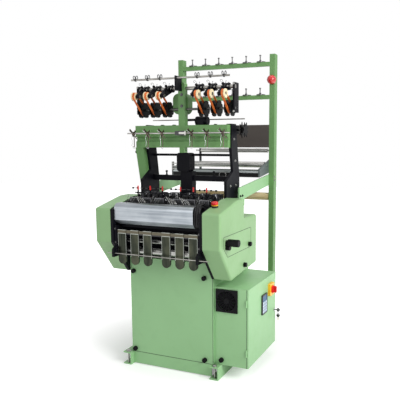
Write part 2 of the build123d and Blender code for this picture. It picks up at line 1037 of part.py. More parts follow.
def weft_needles():
    needles = rod_x(needle_shaft, -side_out, side_out, needle_y, sley_z)
    half = needle_arm / 2
    elbow_y = needle_y - needle_bend
    ring = Circle(needle_bend + half) - Circle(needle_bend - half)
    ring &= rectangle(0, needle_bend + needle_arm, 0, needle_bend + needle_arm)
    hook = Pos(elbow_y, needle_elbow) * ring
    hook += rectangle(needle_y - half, needle_y + half, sley_z, needle_elbow)
    top = needle_elbow + needle_bend
    hook += outline((elbow_y, top - half), (elbow_y, top + half), (elbow_y - needle_reach, top))
    for x in heads:
        side = x + needle_offset
        needles += plate_x(hook, side - needle_thickness / 2, side + needle_thickness / 2)
    return needles


def heald_frames(first_y):
    end = side_in - heald_guide - seat_gap
    frames = None
    for index in range(heald_count):
        sheet = rectangle(-end, end, heald_bottom - heald_carrier, heald_bottom)
        for x in heads:
            sheet += slotted_sheet(x, heald_width, heald_bottom - heald_rim, heald_top, heald_rim, heald_wire,
                                   heald_gaps)
        y = first_y + heald_pitch * index
        layer = plate_y(sheet, y, y + heald_sheet)
        frames = layer if frames is None else frames + layer
    last = first_y + heald_pitch * (heald_count - 1) + heald_sheet
    tie = block(end - heald_end, end, first_y, last, heald_bottom - heald_carrier, heald_bottom)
    return frames + tie + mirrored(tie)


# Breast cover, cables and take-off

def breast_cover():
    route = FilletPolyline((breast_back, bed_top), (breast_back, breast_top), (breast_front, breast_top),
                           (breast_front, breast_front_bottom),
                           (breast_front + breast_lip_back, breast_front_bottom - breast_lip_drop),
                           radius=[breast_sheet * 2, breast_round, breast_sheet * 2])
    return plate_x(trace(route, breast_sheet), -side_in + breast_left_gap, breast_right)


def cable(x):
    route = FilletPolyline((x, cable_back, bed_top), (x, cable_back, bed_top + cable_rise),
                           (x, cable_front, bed_top + cable_rise), (x, cable_front, cable_drop),
                           (x, apron_front, cable_drop), radius=cable_bend)
    section = Plane((x, cable_back, bed_top)) * Circle(cable_diameter / 2)
    return sweep(section, path=route)


def cable_bundle():
    first = breast_right + cable_margin
    last = side_in - cable_margin
    step = (last - first) / (cable_count - 1)
    return [cable(first + step * index) for index in range(cable_count)]


def tape_plate(x):
    """A plate with a folded rim, rounded below and hooked over its bar."""
    half = tape_plate_width / 2
    sketch = rectangle(x - half, x + half, tape_plate_bottom + half, tape_plate_top)
    sketch += Pos(x, tape_plate_bottom + half) * Circle(half)
    plate = plate_y(sketch, tape_plate_front, tape_bar_front)
    rim = sketch - offset(sketch, amount=-tape_plate_sheet)
    rim -= rectangle(x - half, x + half, tape_bar_top - tape_bar_height - tape_plate_rim, tape_plate_top)
    plate += plate_y(rim, tape_bar_front, tape_bar_front + tape_plate_rim)
    return plate + block(x - half, x + half, tape_plate_front, tape_bar_front + tape_bar_depth,
                         tape_bar_top, tape_plate_top)


def tape_plates():
    end = side_in - cheek_thickness
    bar = block(-end, end, tape_bar_front, tape_bar_front + tape_bar_depth, tape_bar_top - tape_bar_height,
                tape_bar_top)
    return [bar] + [tape_plate(x) for x in heads]


def take_off_roller():
    end = side_in - take_off_gap
    roller = rod_x(take_off_diameter, -end, end, take_off_y, take_off_z)
    return roller + rod_x(take_off_journal, -side_out, side_out, take_off_y, take_off_z)


# Electrical cabinet, door and fan

def hinge_spans():
    """Each hinge has a lower knuckle on the cabinet and an upper one on the door."""
    return [(z - hinge_knuckle, z, z + hinge_knuckle) for z in (hinge_low, hinge_high)]


def fan_window():
    return Pos(fan_centre_x, fan_centre_z) * Circle(fan_opening / 2)


def electrical_cabinet():
    rear = cabinet_front + cabinet_depth
    right = door_left - door_seam
    box = block(side_in, right, cabinet_front, rear, base_height, cabinet_top)
    box -= block(side_in + cabinet_wall, right + overrun, cabinet_front + cabinet_wall, rear - cabinet_wall,
                 base_height + cabinet_wall, cabinet_top - cabinet_wall)
    box -= plate_y(fan_window(), cabinet_front - overrun, cabinet_front + cabinet_wall + overrun)
    box -= rod_y(knob_stem + 2 * bolt_play, cabinet_knob_x, cabinet_front - overrun,
                 cabinet_front + cabinet_wall + overrun, cabinet_knob_z)
    for z0, z1, z2 in hinge_spans():
        box += block(hinge_x - hinge_leaf_width, hinge_x, cabinet_front - hinge_leaf, cabinet_front, z0, z1)
        box += rod_z(hinge_barrel, hinge_x, hinge_y, z0, z1)
        box += rod_z(hinge_pin, hinge_x, hinge_y, z1, z2)
    return box


def cabinet_door():
    rear = cabinet_front + cabinet_depth
    door = block(door_left, cabinet_right, cabinet_front, rear, base_height, cabinet_top)
    door -= block(door_left - overrun, cabinet_right - door_sheet, cabinet_front + door_sheet,
                  rear - door_sheet,
                  base_height + door_sheet, cabinet_top - door_sheet)
    door -= bore_x(switch_spindle, door_left, cabinet_right, switch_y, switch_z, bolt_play)
    door -= bore_x(lock_barrel, door_left, cabinet_right, lock_y, lock_z, bolt_play)
    for z0, z1, z2 in hinge_spans():
        leaf = block(hinge_x, cabinet_right, cabinet_front - hinge_leaf, cabinet_front, z1 + seat_gap, z2)
        knuckle = leaf + rod_z(hinge_barrel, hinge_x, hinge_y, z1 + seat_gap, z2)
        door += knuckle - rod_z(hinge_pin + 2 * running_fit, hinge_x, hinge_y, z1 - overrun, z2 + overrun)
    return door


def fan_grille():
    """A square moulded grille with rings and bars, its spindle behind it."""
    half = fan_side / 2
    sketch = rectangle(-half, half, -half, half) - Circle(fan_opening / 2)
    step = (fan_opening - fan_hub) / 2 / (fan_rings + 1)
    for index in range(1, fan_rings + 1):
        radius = fan_hub / 2 + step * index
        sketch += Circle(radius + fan_ring_width / 2) - Circle(radius - fan_ring_width / 2)
    sketch += Circle(fan_hub / 2)
    for index in range(fan_bars):
        sketch += Rot(0, 0, index * 180 / fan_bars) * Rectangle(fan_opening + fan_ring_width, fan_ring_width)
    place = Pos(fan_centre_x, 0, fan_centre_z)
    grille = plate_y(sketch, cabinet_front - fan_depth, cabinet_front)
    grille += rod_y(fan_spindle, 0, cabinet_front, cabinet_front + fan_spindle_length, 0)
    return place * grille


def fan_rotor():
    """Seven tilted blades round a hub that turns on the spindle."""
    y0 = cabinet_front + fan_rotor_depth * hinge_share
    y1 = y0 + fan_rotor_depth
    hub = rod_y(fan_rotor_hub, 0, y0, y1, 0)
    span = (fan_rotor_diameter - fan_rotor_hub) / 2 + fan_blade
    middle = (fan_rotor_hub - 2 * fan_blade) / 2 + span / 2
    blade_length = fan_rotor_depth - fan_blade
    blade = Pos(middle, (y0 + y1) / 2, 0) * Rot(fan_blade_tilt, 0, 0) * Box(span, blade_length, fan_blade)
    for index in range(fan_blades):
        hub += Rot(0, index * 360 / fan_blades, 0) * blade
    hub -= rod_y(fan_spindle + 2 * running_fit, 0, y0 - overrun, y1 + overrun, 0)
    return Pos(fan_centre_x, 0, fan_centre_z) * hub


# Controls on the door and the cover

def switch_plate():
    sketch = Pos(switch_y, switch_z) * RectangleRounded(switch_side, switch_side, switch_round)
    plate = plate_x(sketch, cabinet_right, cabinet_right + switch_thickness)
    return plate - bore_x(switch_spindle, cabinet_right, cabinet_right + switch_thickness, switch_y, switch_z)


def switch_handle():
    face = cabinet_right + switch_thickness
    base = face + seat_gap
    handle = rod_x(handle_diameter, base, base + handle_base, switch_y, switch_z)
    handle += rod_x(switch_spindle, cabinet_right - door_sheet, base, switch_y, switch_z)
    grip = Pos(switch_y, switch_z) * SlotOverall(handle_grip_length, handle_grip, rotation=90)
    return handle + plate_x(grip, base + handle_base, base + handle_base + handle_grip_height)


def control_panel():
    """A keypad unit with a raised rim, a screen field and rows of low keys."""
    front = cabinet_right + pad_depth
    sketch = Pos(pad_y, pad_z) * RectangleRounded(pad_width, pad_height, pad_round)
    pad = plate_x(sketch, cabinet_right, front)
    inner_width = pad_width - 2 * pad_frame
    inner_height = pad_height - 2 * pad_frame
    floor = front - pad_recess
    pad -= plate_x(Pos(pad_y, pad_z) * Rectangle(inner_width, inner_height), floor, front + overrun)
    top = pad_z + inner_height / 2 - pad_screen_height
    column = inner_width / pad_key_columns
    row = (inner_height - pad_screen_height) / pad_key_rows
    for i in range(pad_key_columns):
        for j in range(pad_key_rows):
            y = pad_y - inner_width / 2 + column * (i + 1 / 2)
            key = Pos(y, top - row * (j + 1 / 2)) * Rectangle(pad_key, row - pad_key_rise * 3)
            pad += plate_x(key, floor, floor + pad_key_rise)
    return pad


def door_lock():
    rose_top = cabinet_right + lock_rose_depth
    lock = rod_x(lock_rose, cabinet_right, rose_top, lock_y, lock_z)
    lock += rod_x(lock_barrel, cabinet_right - lock_barrel_length, cabinet_right, lock_y, lock_z)
    return lock - bore_x(key_plug, cabinet_right - lock_barrel_length, rose_top, lock_y, lock_z)


def key_hole():
    return 3 * key_ring_wire / 2


def door_key():
    """The key in its turning plug, with a spare that hangs from its ring."""
    rose_top = cabinet_right + lock_rose_depth
    head_x = rose_top + key_shank
    key = rod_x(key_plug, cabinet_right - lock_barrel_length, rose_top, lock_y, lock_z)
    half = key_head_thickness / 2
    hole_x = head_x + key_head / 2
    key += block(rose_top, hole_x - key_hole() - key_ring_wire, lock_y - half, lock_y + half,
                 lock_z - half, lock_z + half)
    head = Pos(hole_x, lock_z) * (Circle(key_head / 2) - Circle(key_hole()))
    key += plate_y(head, lock_y - half, lock_y + half)
    return [key] + spare_key(hole_x)


def spare_key(hole_x):
    """The ring rests in the eye of the key in the lock, and the spare rests on the ring."""
    inner = key_ring - key_ring_wire
    ring_z = lock_z - key_hole() + seat_gap - inner
    half = key_ring_wire / 2
    ring = plate_x(Pos(lock_y, ring_z) * (Circle(key_ring) - Circle(inner)), hole_x - half, hole_x + half)
    eye_z = ring_z - inner + seat_gap - key_hole()
    head_z = eye_z - key_head / 2 + key_hole() + key_ring_wire
    head = Pos(hole_x, head_z) * Circle(key_head / 2) - Pos(hole_x, eye_z) * Circle(key_hole())
    spare = plate_y(head, lock_y - key_head_thickness / 2, lock_y + key_head_thickness / 2)
    blade_top = head_z - key_head / 2 + key_head_thickness
    spare += block(hole_x - spare_blade_width / 2, hole_x + spare_blade_width / 2,
                   lock_y - spare_blade_thickness / 2, lock_y + spare_blade_thickness / 2,
                   blade_top - spare_blade, blade_top)
    return [ring, spare]


def stop_seat():
    """Height of the right cover's sloping top at the stop button."""
    rise = (cover_knee_top - cover_nose_top) / (cover_knee - cover_front)
    return cover_nose_top + rise * (stop_y - cover_front)


def stop_tilt():
    return degrees(atan2(cover_knee_top - cover_nose_top, cover_knee - cover_front))


def on_cover(piece):
    """Stand a piece drawn upright at the origin on the cover's sloping top."""
    return Pos(stop_x, stop_y, stop_seat()) * Rot(stop_tilt(), 0, 0) * piece


def stop_button_base():
    base = rod_z(stop_base, 0, 0, 0, stop_base_height)
    return on_cover(base - rod_z(stop_stem + 2 * running_fit, 0, 0, -overrun, stop_base_height + overrun))


def stop_button():
    low = stop_base_height + stop_travel + seat_gap
    head = rod_z(stop_head, 0, 0, low, low + stop_head_height)
    head = fillet(head.faces().sort_by(Axis.Z)[-1].edges(), stop_round)
    return on_cover(head + rod_z(stop_stem, 0, 0, low - stop_stem_length, low))


# Rear stand and what it carries

def rear_post():
    tube = block(post_in, post_out, post_y, post_y + post_depth, 0, post_top)
    tube -= block(post_in + post_wall, post_out - post_wall, post_y + post_wall,
                  post_y + post_depth - post_wall,
                  -overrun, post_top - post_wall)
    for diameter, z in ((steel_axle, steel_roller_z), (wood_axle, wood_roller_z)):
        tube -= bore_x(diameter, post_in, post_in + post_wall, post_mid_y, z)
    return tube


def rear_stand():
    stand = rear_post() + mirrored(rear_post())
    for z in (beam_low, beam_high):
        beam = block(-post_in, post_in, post_y, post_y + beam_side, z, z + beam_side)
        beam -= block(-post_in, post_in, post_y + post_wall, post_y + beam_side - post_wall,
                      z + post_wall, z + beam_side - post_wall)
        stand += beam
    return stand


def yarn_pin(x, z):
    """A pin on a flanged foot, which carries a yarn package's end."""
    y = post_y + beam_side / 2
    cone_top = z + pin_base_height + pin_cone_height
    foot = Pos(x, y, z + pin_base_height / 2) * Cylinder(pin_base / 2, pin_base_height)
    cone = Cone(pin_cone / 2, pin_diameter / 2, pin_cone_height)
    cone = Pos(x, y, z + pin_base_height + pin_cone_height / 2) * cone
    pin = rod_z(pin_diameter, x, y, cone_top, z + pin_height)
    return foot + cone + pin + rod_z(pin_tip, x, y, z + pin_height - pin_tip_height, z + pin_height)


def yarn_pin_rows():
    return [yarn_pin(x, z + beam_side) for z in (beam_low, beam_high) for x in yarn_pins]


def signal_lamp():
    """A round foot with a domed lens, turned about its axis and set on the post's front."""
    radius = lamp_diameter / 2
    tip = lamp_base + lamp_dome
    shoulder = lamp_base + lamp_dome * lamp_shoulder_share
    lens = Line((radius, lamp_base), (0, lamp_base)) + Line((0, lamp_base), (0, tip))
    lens += ThreePointArc((0, tip), (radius * lamp_cheek_share, shoulder), (radius, lamp_base))
    foot = rectangle(0, radius, 0, lamp_base)
    turned = revolve(make_face(lens) + foot, Axis.Y)
    return Pos(post_in + post_width / 2, post_y, lamp_z) * Rot(180, 0, 0) * turned


def brace(front, foot_rear):
    """A flat arm from the side plate's outer face to the inner face of the post."""
    x0 = post_in - brace_thickness
    end = post_y + post_depth
    slope = (brace_rear_top - brace_front_top) / (end - brace_front)
    front_top = brace_front_top + slope * (front - brace_front)
    sketch = outline((front, brace_front_bottom), (front, front_top), (end, brace_rear_top),
                     (end, brace_rear_bottom), (foot_rear, brace_neck), (foot_rear, brace_front_bottom))
    foot = block(side_out, x0, front, foot_rear, brace_front_bottom, plate_top)
    return plate_x(sketch, x0, post_in) + foot


def post_braces():
    """The left arm starts behind the beam's leg."""
    left_front = leg_front_bottom + leg_depth + brace_leg_gap
    return [brace(brace_front, brace_front + brace_front_width), mirrored(brace(left_front, cover_rear))]


def rear_panel():
    panel = block(-post_in, post_in, post_y, post_y + rear_panel_sheet, rear_panel_bottom, rear_panel_top)
    return panel + block(-post_in, post_in, post_y, post_y + rear_panel_flange,
                         rear_panel_top - rear_panel_sheet, rear_panel_top)


def steel_roller_piece():
    roller = rod_x(steel_roller, -steel_roller_left, steel_roller_right, post_mid_y, steel_roller_z)
    return roller + rod_x(steel_axle, -steel_axle_left, post_in + post_wall, post_mid_y, steel_roller_z)


def roller_rail():
    end = post_y + post_depth
    sketch = outline((rail_front, rail_front_bottom), (rail_front, rail_front_top), (end, rail_rear_top),
                     (end, rail_rear_bottom))
    rail = plate_x(sketch, post_in - rail_thickness, post_in)
    return rail - bore_x(dark_axle, post_in - rail_thickness, post_in, dark_roller_y, dark_roller_z)


def roller_rails():
    """Two rails, the box bar across their front ends and the stay of the steel roller."""
    end = post_in - rail_thickness
    top = rail_front_bottom + rail_bar_height
    bar = block(-end, end, rail_front, rail_front + rail_bar_depth, rail_front_bottom, top)
    half = stay_depth / 2
    tie = block(-end, end, post_mid_y - half, post_mid_y + half, rail_rear_bottom,
                rail_rear_bottom + stay_depth)
    x1 = -steel_roller_left - roller_end_gap
    stay = block(x1 - stay_width, x1, post_mid_y - half, post_mid_y + half, rail_rear_bottom + stay_depth,
                 steel_roller_z + steel_roller / 2)
    stay -= bore_x(steel_axle, x1 - stay_width, x1, post_mid_y, steel_roller_z)
    return [roller_rail(), mirrored(roller_rail()), bar, tie + stay]


def dark_roller_piece():
    end = post_in - rail_thickness - roller_end_gap
    roller = rod_x(dark_roller, -end, end, dark_roller_y, dark_roller_z)
    return roller + rod_x(dark_axle, -post_in, post_in, dark_roller_y, dark_roller_z)


def wooden_roller():
    end = post_in - roller_end_gap
    roller = rod_x(wood_roller, -end, end, post_mid_y, wood_roller_z)
    return roller + rod_x(wood_axle, -post_in - post_wall, post_in + post_wall, post_mid_y, wood_roller_z)


# Black support posts

def support_post():
    lug_low = star_z - support_lug_height / 2
    lug_high = star_z + support_lug_height / 2
    sketch = outline((support_base_front, plate_top), (support_base_front, support_base_top),
                     (support_neck_front, support_neck_z), (support_seat_y, support_seat_z),
                     (support_seat_y, support_top), (support_top_rear, support_top),
                     (support_base_rear, support_rear_z), (support_base_rear, plate_top))
    sketch += rectangle(support_seat_y + support_lug_height / 2, support_lug_rear, lug_low, lug_high)
    post = plate_x(sketch, side_in, side_out)
    return post - bore_x(star_shaft, side_in, side_out, star_y, star_z)


def centre_column():
    """A column on the bed with a rounded housing on top; both cross bars pass through it."""
    y0 = cross_bar_y - column_depth / 2
    y1 = cross_bar_y + column_depth / 2
    column = block(-column_left, column_right, y0, y1, bed_top, column_head_bottom)
    head = Pos((column_head_right - column_head_left) / 2, (column_head_bottom + column_head_top) / 2)
    head = head * RectangleRounded(column_head_right + column_head_left, column_head_top - column_head_bottom,
                                   column_head_round)
    column += plate_y(head, y0 - column_head_round, y1)
    half = thick_bar / 2 + bolt_play
    rise = thick_bar_height / 2 + bolt_play
    column -= block(-column_left - overrun, column_right + overrun, cross_bar_y - half, cross_bar_y + half,
                    thick_bar_z - rise, thick_bar_z + rise)
    return column - bore_x(thin_bar, -column_head_left, column_right, cross_bar_y, thin_bar_z)


def support_frame():
    half = thick_bar / 2
    rise = thick_bar_height / 2
    thick = block(-side_in, side_in, cross_bar_y - half, cross_bar_y + half, thick_bar_z - rise,
                  thick_bar_z + rise)
    thin = rod_x(thin_bar, -side_in, side_in, cross_bar_y, thin_bar_z)
    return [support_post(), mirrored(support_post()), thick, thin, centre_column()]


# Front beam and feelers

def front_beam():
    lower_front = beam_front + beam_lower_set
    band_front = beam_front + beam_band_depth
    sketch = outline((beam_front, beam_top), (beam_front, beam_band_top),
                     (band_front, beam_band_top - beam_lip),
                     (band_front, beam_band_bottom), (lower_front, beam_band_bottom - beam_lip),
                     (lower_front, beam_bottom), (support_seat_y, beam_bottom), (support_seat_y, beam_top))
    beam = plate_x(sketch, -beam_left, beam_right)
    leg = outline((lower_front, beam_bottom), (support_seat_y, beam_bottom),
                  (leg_front_bottom + leg_depth, leg_bottom),
                  (leg_front_bottom, leg_bottom))
    return beam + plate_x(leg, -side_out - leg_width, -side_out)


def feeler_bar_piece():
    bar = rod_x(feeler_bar, -feeler_bar_left, feeler_bar_right, feeler_bar_y, feeler_bar_z)
    half = clamp_height / 2
    clamp = block(-clamp_left, clamp_right, feeler_bar_y - clamp_front, beam_front,
                  feeler_bar_z - half, feeler_bar_z + half)
    return bar + clamp


def weft_feeler(x):
    """A hub on the bar with a crossed pair of levers and a bent wire that hangs from it."""
    half = feeler_hub_width / 2
    hub = Circle(feeler_hub / 2)
    lever = Pos(feeler_lever / 2, 0) * Rectangle(feeler_lever, feeler_lever_width)
    long = Rot(0, 0, 180 - feeler_lever_tilt) * lever
    short = Rot(0, 0, feeler_cross_tilt) * Rectangle(feeler_cross, feeler_lever_width)
    feeler = plate_x(hub, x - half, x + half) + plate_x(hub + long, x - half, x - half + feeler_wire)
    feeler += plate_x(hub + short, x + half - feeler_wire, x + half)
    feeler += block(x + half - feeler_wire, x + half, -feeler_wire / 2, feeler_wire / 2, -feeler_wire_drop, 0)
    feeler += block(x - half, x + half, -feeler_wire / 2, feeler_wire / 2, -feeler_wire_drop,
                    -feeler_wire_drop + feeler_wire)
    feeler -= bore_x(feeler_bar, x - half, x + half, 0, 0)
    return Pos(0, feeler_bar_y, feeler_bar_z) * feeler


def star_wheel_shaft():
    """Scalloped wheels over the heads and a double star wheel outside the right post."""
    shaft = rod_x(star_shaft, -side_out, side_out + star_end_gap + star_end_width, star_y, star_z)
    wheel = Pos(star_y, star_z) * lobed_disc(star_wheel, star_bite, star_lobes)
    half = star_wheel_width / 2
    for x in heads:
        shaft += plate_x(wheel, x - half, x + half)
    x0 = side_out + star_end_gap
    x1 = x0 + star_end_width
    shaft += rod_x(end_star_hub, x0, x1, star_y, star_z)
    star = Pos(star_y, star_z) * star_disc(end_star, end_star_root, star_lobes)
    turned = Pos(star_y, star_z) * Rot(0, 0, 180 / star_lobes) * star_disc(end_star, end_star_root, star_lobes)
    shaft += plate_x(star, x0, x0 + half)
    return shaft + plate_x(turned, x1 - half, x1)


# Yarn feeder

def feeder_mast():
    rear = beam_front + mast_depth
    mast = block(-mast_left, mast_right, beam_front, rear, beam_top, mast_top)
    mast = fillet(mast.edges().filter_by(Axis.Y).sort_by(Axis.Z)[-2:], mast_round)
    box = Pos((gearbox_right - gearbox_left) / 2, (gearbox_bottom + gearbox_top) / 2)
    box = box * RectangleRounded(gearbox_left + gearbox_right, gearbox_top - gearbox_bottom, gearbox_round)
    mast += plate_y(box, rear - mast_round, rear + gearbox_depth)
    for diameter, z in ((feed_shaft, feed_shaft_z), (feeder_bar, feeder_bar_z)):
        mast -= bore_x(diameter, -gearbox_left, gearbox_right, feeder_y, z)
    return mast


def end_plate_piece():
    plate = block(end_plate_gap, end_plate_out, end_plate_front, end_plate_front + end_plate_depth,
                  end_plate_bottom, end_plate_top)
    for diameter, z in ((feed_shaft, feed_shaft_z), (feeder_bar, feeder_bar_z)):
        plate -= bore_x(diameter, end_plate_gap, end_plate_out, feeder_y, z)
    return plate


def inner_side(x, near, far):
    """A span on the mast's side of a feeder, from its lower to its higher X."""
    return (x - far, x - near) if x > 0 else (x + near, x + far)


def outer_side(x, near, far):
    """A span on the side of a feeder that is turned away from the mast."""
    return (x + near, x + far) if x > 0 else (x - far, x - near)


def feeder_bracket(x):
    """A cast arm clamped on the grey bar, with the idler stub in its forward end and a horn above."""
    x0, x1 = inner_side(x, bracket_offset, bracket_offset + bracket_width)
    clamp = (Pos(feeder_y, feeder_bar_z) * Circle(bracket_boss / 2)).edges()
    tip = (Pos(idler_y, idler_z) * Circle(bracket_arm / 2)).edges()
    middle = (Pos((feeder_y + idler_y) / 2, idler_z + bracket_horn_rise) * Circle(bracket_horn / 2)).edges()
    arm = plate_x(make_hull(clamp + tip), x0, x1)
    arm += plate_x(make_hull(tip + middle), x0, x0 + bracket_width / 2)
    arm += rod_x(clamp_ring, x1, x1 + clamp_ring_width, feeder_y, feeder_bar_z)
    arm -= bore_x(idler_shaft, x0, x1, idler_y, idler_z)
    return arm - bore_x(feeder_bar, x0, x1 + clamp_ring_width, feeder_y, feeder_bar_z)


def rod_bracket():
    """The black plate on the mast's front that carries the upper yarn rod."""
    sketch = rectangle(yarn_rod_y - rod_bracket_rise, beam_front, rod_bracket_bottom,
                       yarn_rod_z + rod_bracket_rise)
    plate = plate_x(sketch, -rod_bracket_left, -rod_bracket_right)
    return plate - bore_x(yarn_rod, -rod_bracket_left, -rod_bracket_right, yarn_rod_y, yarn_rod_z)


def rear_rod_arm():
    """The black arm that reaches back from the mast to the rear yarn rod."""
    rear = beam_front + mast_depth
    half = rear_arm / 2
    sketch = outline((rear, rear_rod_z - rear_arm), (rear, rear_rod_z), (rear_rod_y + half, rear_rod_z + half),
                     (rear_rod_y + half, rear_rod_z - half))
    arm = plate_x(sketch, mast_right - rear_arm_width, mast_right)
    return arm - bore_x(rear_rod, mast_right - rear_arm_width, mast_right, rear_rod_y, rear_rod_z)


def feed_motor_piece():
    """The small black motor behind the front beam, on a foot against the beam's rear face."""
    case = rod_x(feed_motor, feed_motor_left, feed_motor_right, feed_motor_y, feed_motor_z)
    end = case.faces().filter_by(Plane.YZ).edges()
    case = fillet(end, feed_motor / 10)
    quarter = (feed_motor_right - feed_motor_left) / 4
    return case + block(feed_motor_left + quarter, feed_motor_right - quarter, support_seat_y, feed_motor_y,
                        beam_top - feed_motor_foot, feed_motor_z)


def feeder_brackets():
    pieces = [end_plate_piece(), mirrored(end_plate_piece()), rod_bracket(), rear_rod_arm(),
              feed_motor_piece()]
    return pieces + [feeder_bracket(x) for x in feeders]


def feeder_bar_piece():
    return rod_x(feeder_bar, -end_plate_out, end_plate_out, feeder_y, feeder_bar_z)


def feed_drums():
    """The feed shaft with six drums, each between two scalloped discs."""
    shaft = rod_x(feed_shaft, -end_plate_out, end_plate_out, feeder_y, feed_shaft_z)
    disc = Pos(feeder_y, feed_shaft_z) * lobed_disc(drum_disc, drum_bite, drum_lobes)
    half = drum_disc_gap / 2
    for x in feeders:
        shaft += rod_x(drum_hub, x - half, x + half, feeder_y, feed_shaft_z)
        shaft += plate_x(disc, x - half - drum_disc_width, x - half)
        shaft += plate_x(disc, x + half, x + half + drum_disc_width)
    return shaft


def idler_rod(diameter, span):
    return rod_x(diameter, span[0], span[1], idler_y, idler_z)


def idler_pulley_piece(x):
    """A pulley with a wide flange on its outer side, on a stub that runs in the bracket."""
    half = idler_pulley_width / 2
    nut = bracket_offset + bracket_width + seat_gap
    pulley = rod_x(idler_pulley, x - half, x + half, idler_y, idler_z)
    pulley += idler_rod(idler_flange, outer_side(x, half, half + idler_flange_width))
    pulley += idler_rod(idler_shaft, inner_side(x, half, nut + idler_nut_width))
    return pulley + idler_rod(idler_nut, inner_side(x, nut, nut + idler_nut_width))


def feed_belts():
    drum = (feeder_y, feed_shaft_z, drum_hub / 2 + seat_gap)
    idler = (idler_y, idler_z, idler_pulley / 2 + seat_gap)
    half = belt_width / 2
    return [belt_loop(drum, idler, belt_thickness, x - half, x + half) for x in feeders]


def ringed_rod():
    """The upper yarn rod with a pair of upright yarn rings over each feeder."""
    rod = rod_x(yarn_rod, -yarn_rod_left, yarn_rod_right, yarn_rod_y, yarn_rod_z)
    ring = Circle(yarn_ring / 2) - Circle(yarn_ring_hole / 2)
    ring_y = yarn_rod_y
    ring_z = yarn_rod_z + yarn_rod / 2 + yarn_ring_hole / 2
    half = yarn_ring_width / 2
    for x in feeders:
        rod += rod_x(yarn_collar, x - yarn_collar_width / 2, x + yarn_collar_width / 2, yarn_rod_y, yarn_rod_z)
        for side in (x - yarn_ring_gap / 2, x + yarn_ring_gap / 2):
            rod += plate_x(Pos(ring_y, ring_z) * ring, side - half, side + half)
    return rod


def steel_rods():
    rear = rod_x(rear_rod, -rear_rod_left, rear_rod_right, rear_rod_y, rear_rod_z)
    guide = rod_x(guide_rod, -guide_rod_left, guide_rod_right, guide_rod_y, guide_rod_z)
    return [ringed_rod(), rear, guide, feeder_bar_piece()]


# All nodes of the loom

save("base_frame", base_frame())
save("levelling_bolts", *[levelling_bolt(x, y) for x in level_places() for y in level_rows()])
save("body_frame", body_frame())
save("front_panel", front_panel())
save("thumb_knobs", *thumb_knobs())
save("weaving_frame", *weaving_frame())
save("side_cover_left", side_cover_left())
save("side_cover_right", side_cover_right())
save("access_hatch", access_hatch())
save("main_shaft", main_shaft_piece())
save("hand_crank", hand_crank())
save("drive_motor", drive_motor())
save("motor_pulley", motor_pulley())
save("drive_belt", drive_belt_piece())
save("electrical_cabinet", electrical_cabinet())
save("cabinet_door", cabinet_door())
save("fan_grille", fan_grille())
save("fan_rotor", fan_rotor())
save("switch_plate", switch_plate())
save("switch_handle", switch_handle())
save("control_panel", control_panel())
save("door_lock", door_lock())
save("door_key", *door_key())
save("stop_button_base", stop_button_base())
save("stop_button", stop_button())
save("rear_stand", rear_stand())
save("yarn_pins", *yarn_pin_rows())
save("signal_lamp", signal_lamp())
save("post_braces", *post_braces())
save("rear_panel", rear_panel())
save("steel_roller", steel_roller_piece())
save("roller_rails", *roller_rails())
save("dark_roller", dark_roller_piece())
save("wooden_roller", wooden_roller())
save("support_frame", *support_frame())
save("front_beam", front_beam())
save("feeler_bar", feeler_bar_piece())
for number, place in enumerate(feelers, 1):
    save(f"weft_feeler_{number}", weft_feeler(place))
save("star_wheel_shaft", star_wheel_shaft())
save("feeder_mast", feeder_mast())
save("feeder_brackets", *feeder_brackets())
save("feed_drums", feed_drums())
save("idler_pulleys", *[idler_pulley_piece(x) for x in feeders])
save("feed_belts", *feed_belts())
save("steel_rods", *steel_rods())
save("weaving_heads", *weaving_heads())
save("red_clips", *red_clips())
save("reed_sley", reed_sley())
save("weft_needles", weft_needles())
save("heald_frames_front", heald_frames(heald_front_y))
save("heald_frames_rear", heald_frames(heald_rear_y))
save("breast_cover", breast_cover())
save("cable_bundle", *cable_bundle())
save("tape_plates", *tape_plates())
save("take_off_roller", take_off_roller())
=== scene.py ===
"""Looks of a six-head narrow-fabric needle loom, dressed over its CAD frame."""
import json
from math import cos, pi, radians, sin

import bmesh
import bpy
from mathutils import Matrix, Vector
from mathutils.bvhtree import BVHTree


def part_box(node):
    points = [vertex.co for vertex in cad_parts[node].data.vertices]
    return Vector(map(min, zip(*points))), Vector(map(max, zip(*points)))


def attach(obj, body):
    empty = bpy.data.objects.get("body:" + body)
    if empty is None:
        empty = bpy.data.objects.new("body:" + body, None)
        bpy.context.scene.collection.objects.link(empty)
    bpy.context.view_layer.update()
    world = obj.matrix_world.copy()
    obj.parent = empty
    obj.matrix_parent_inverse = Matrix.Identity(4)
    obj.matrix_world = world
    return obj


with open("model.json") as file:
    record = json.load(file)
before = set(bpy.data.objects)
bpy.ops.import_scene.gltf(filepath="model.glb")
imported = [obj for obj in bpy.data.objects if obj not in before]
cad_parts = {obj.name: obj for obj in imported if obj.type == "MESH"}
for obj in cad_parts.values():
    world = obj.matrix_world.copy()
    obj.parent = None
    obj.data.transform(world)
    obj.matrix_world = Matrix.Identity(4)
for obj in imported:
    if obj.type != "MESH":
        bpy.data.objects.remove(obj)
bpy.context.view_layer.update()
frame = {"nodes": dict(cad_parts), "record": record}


# Shader tools

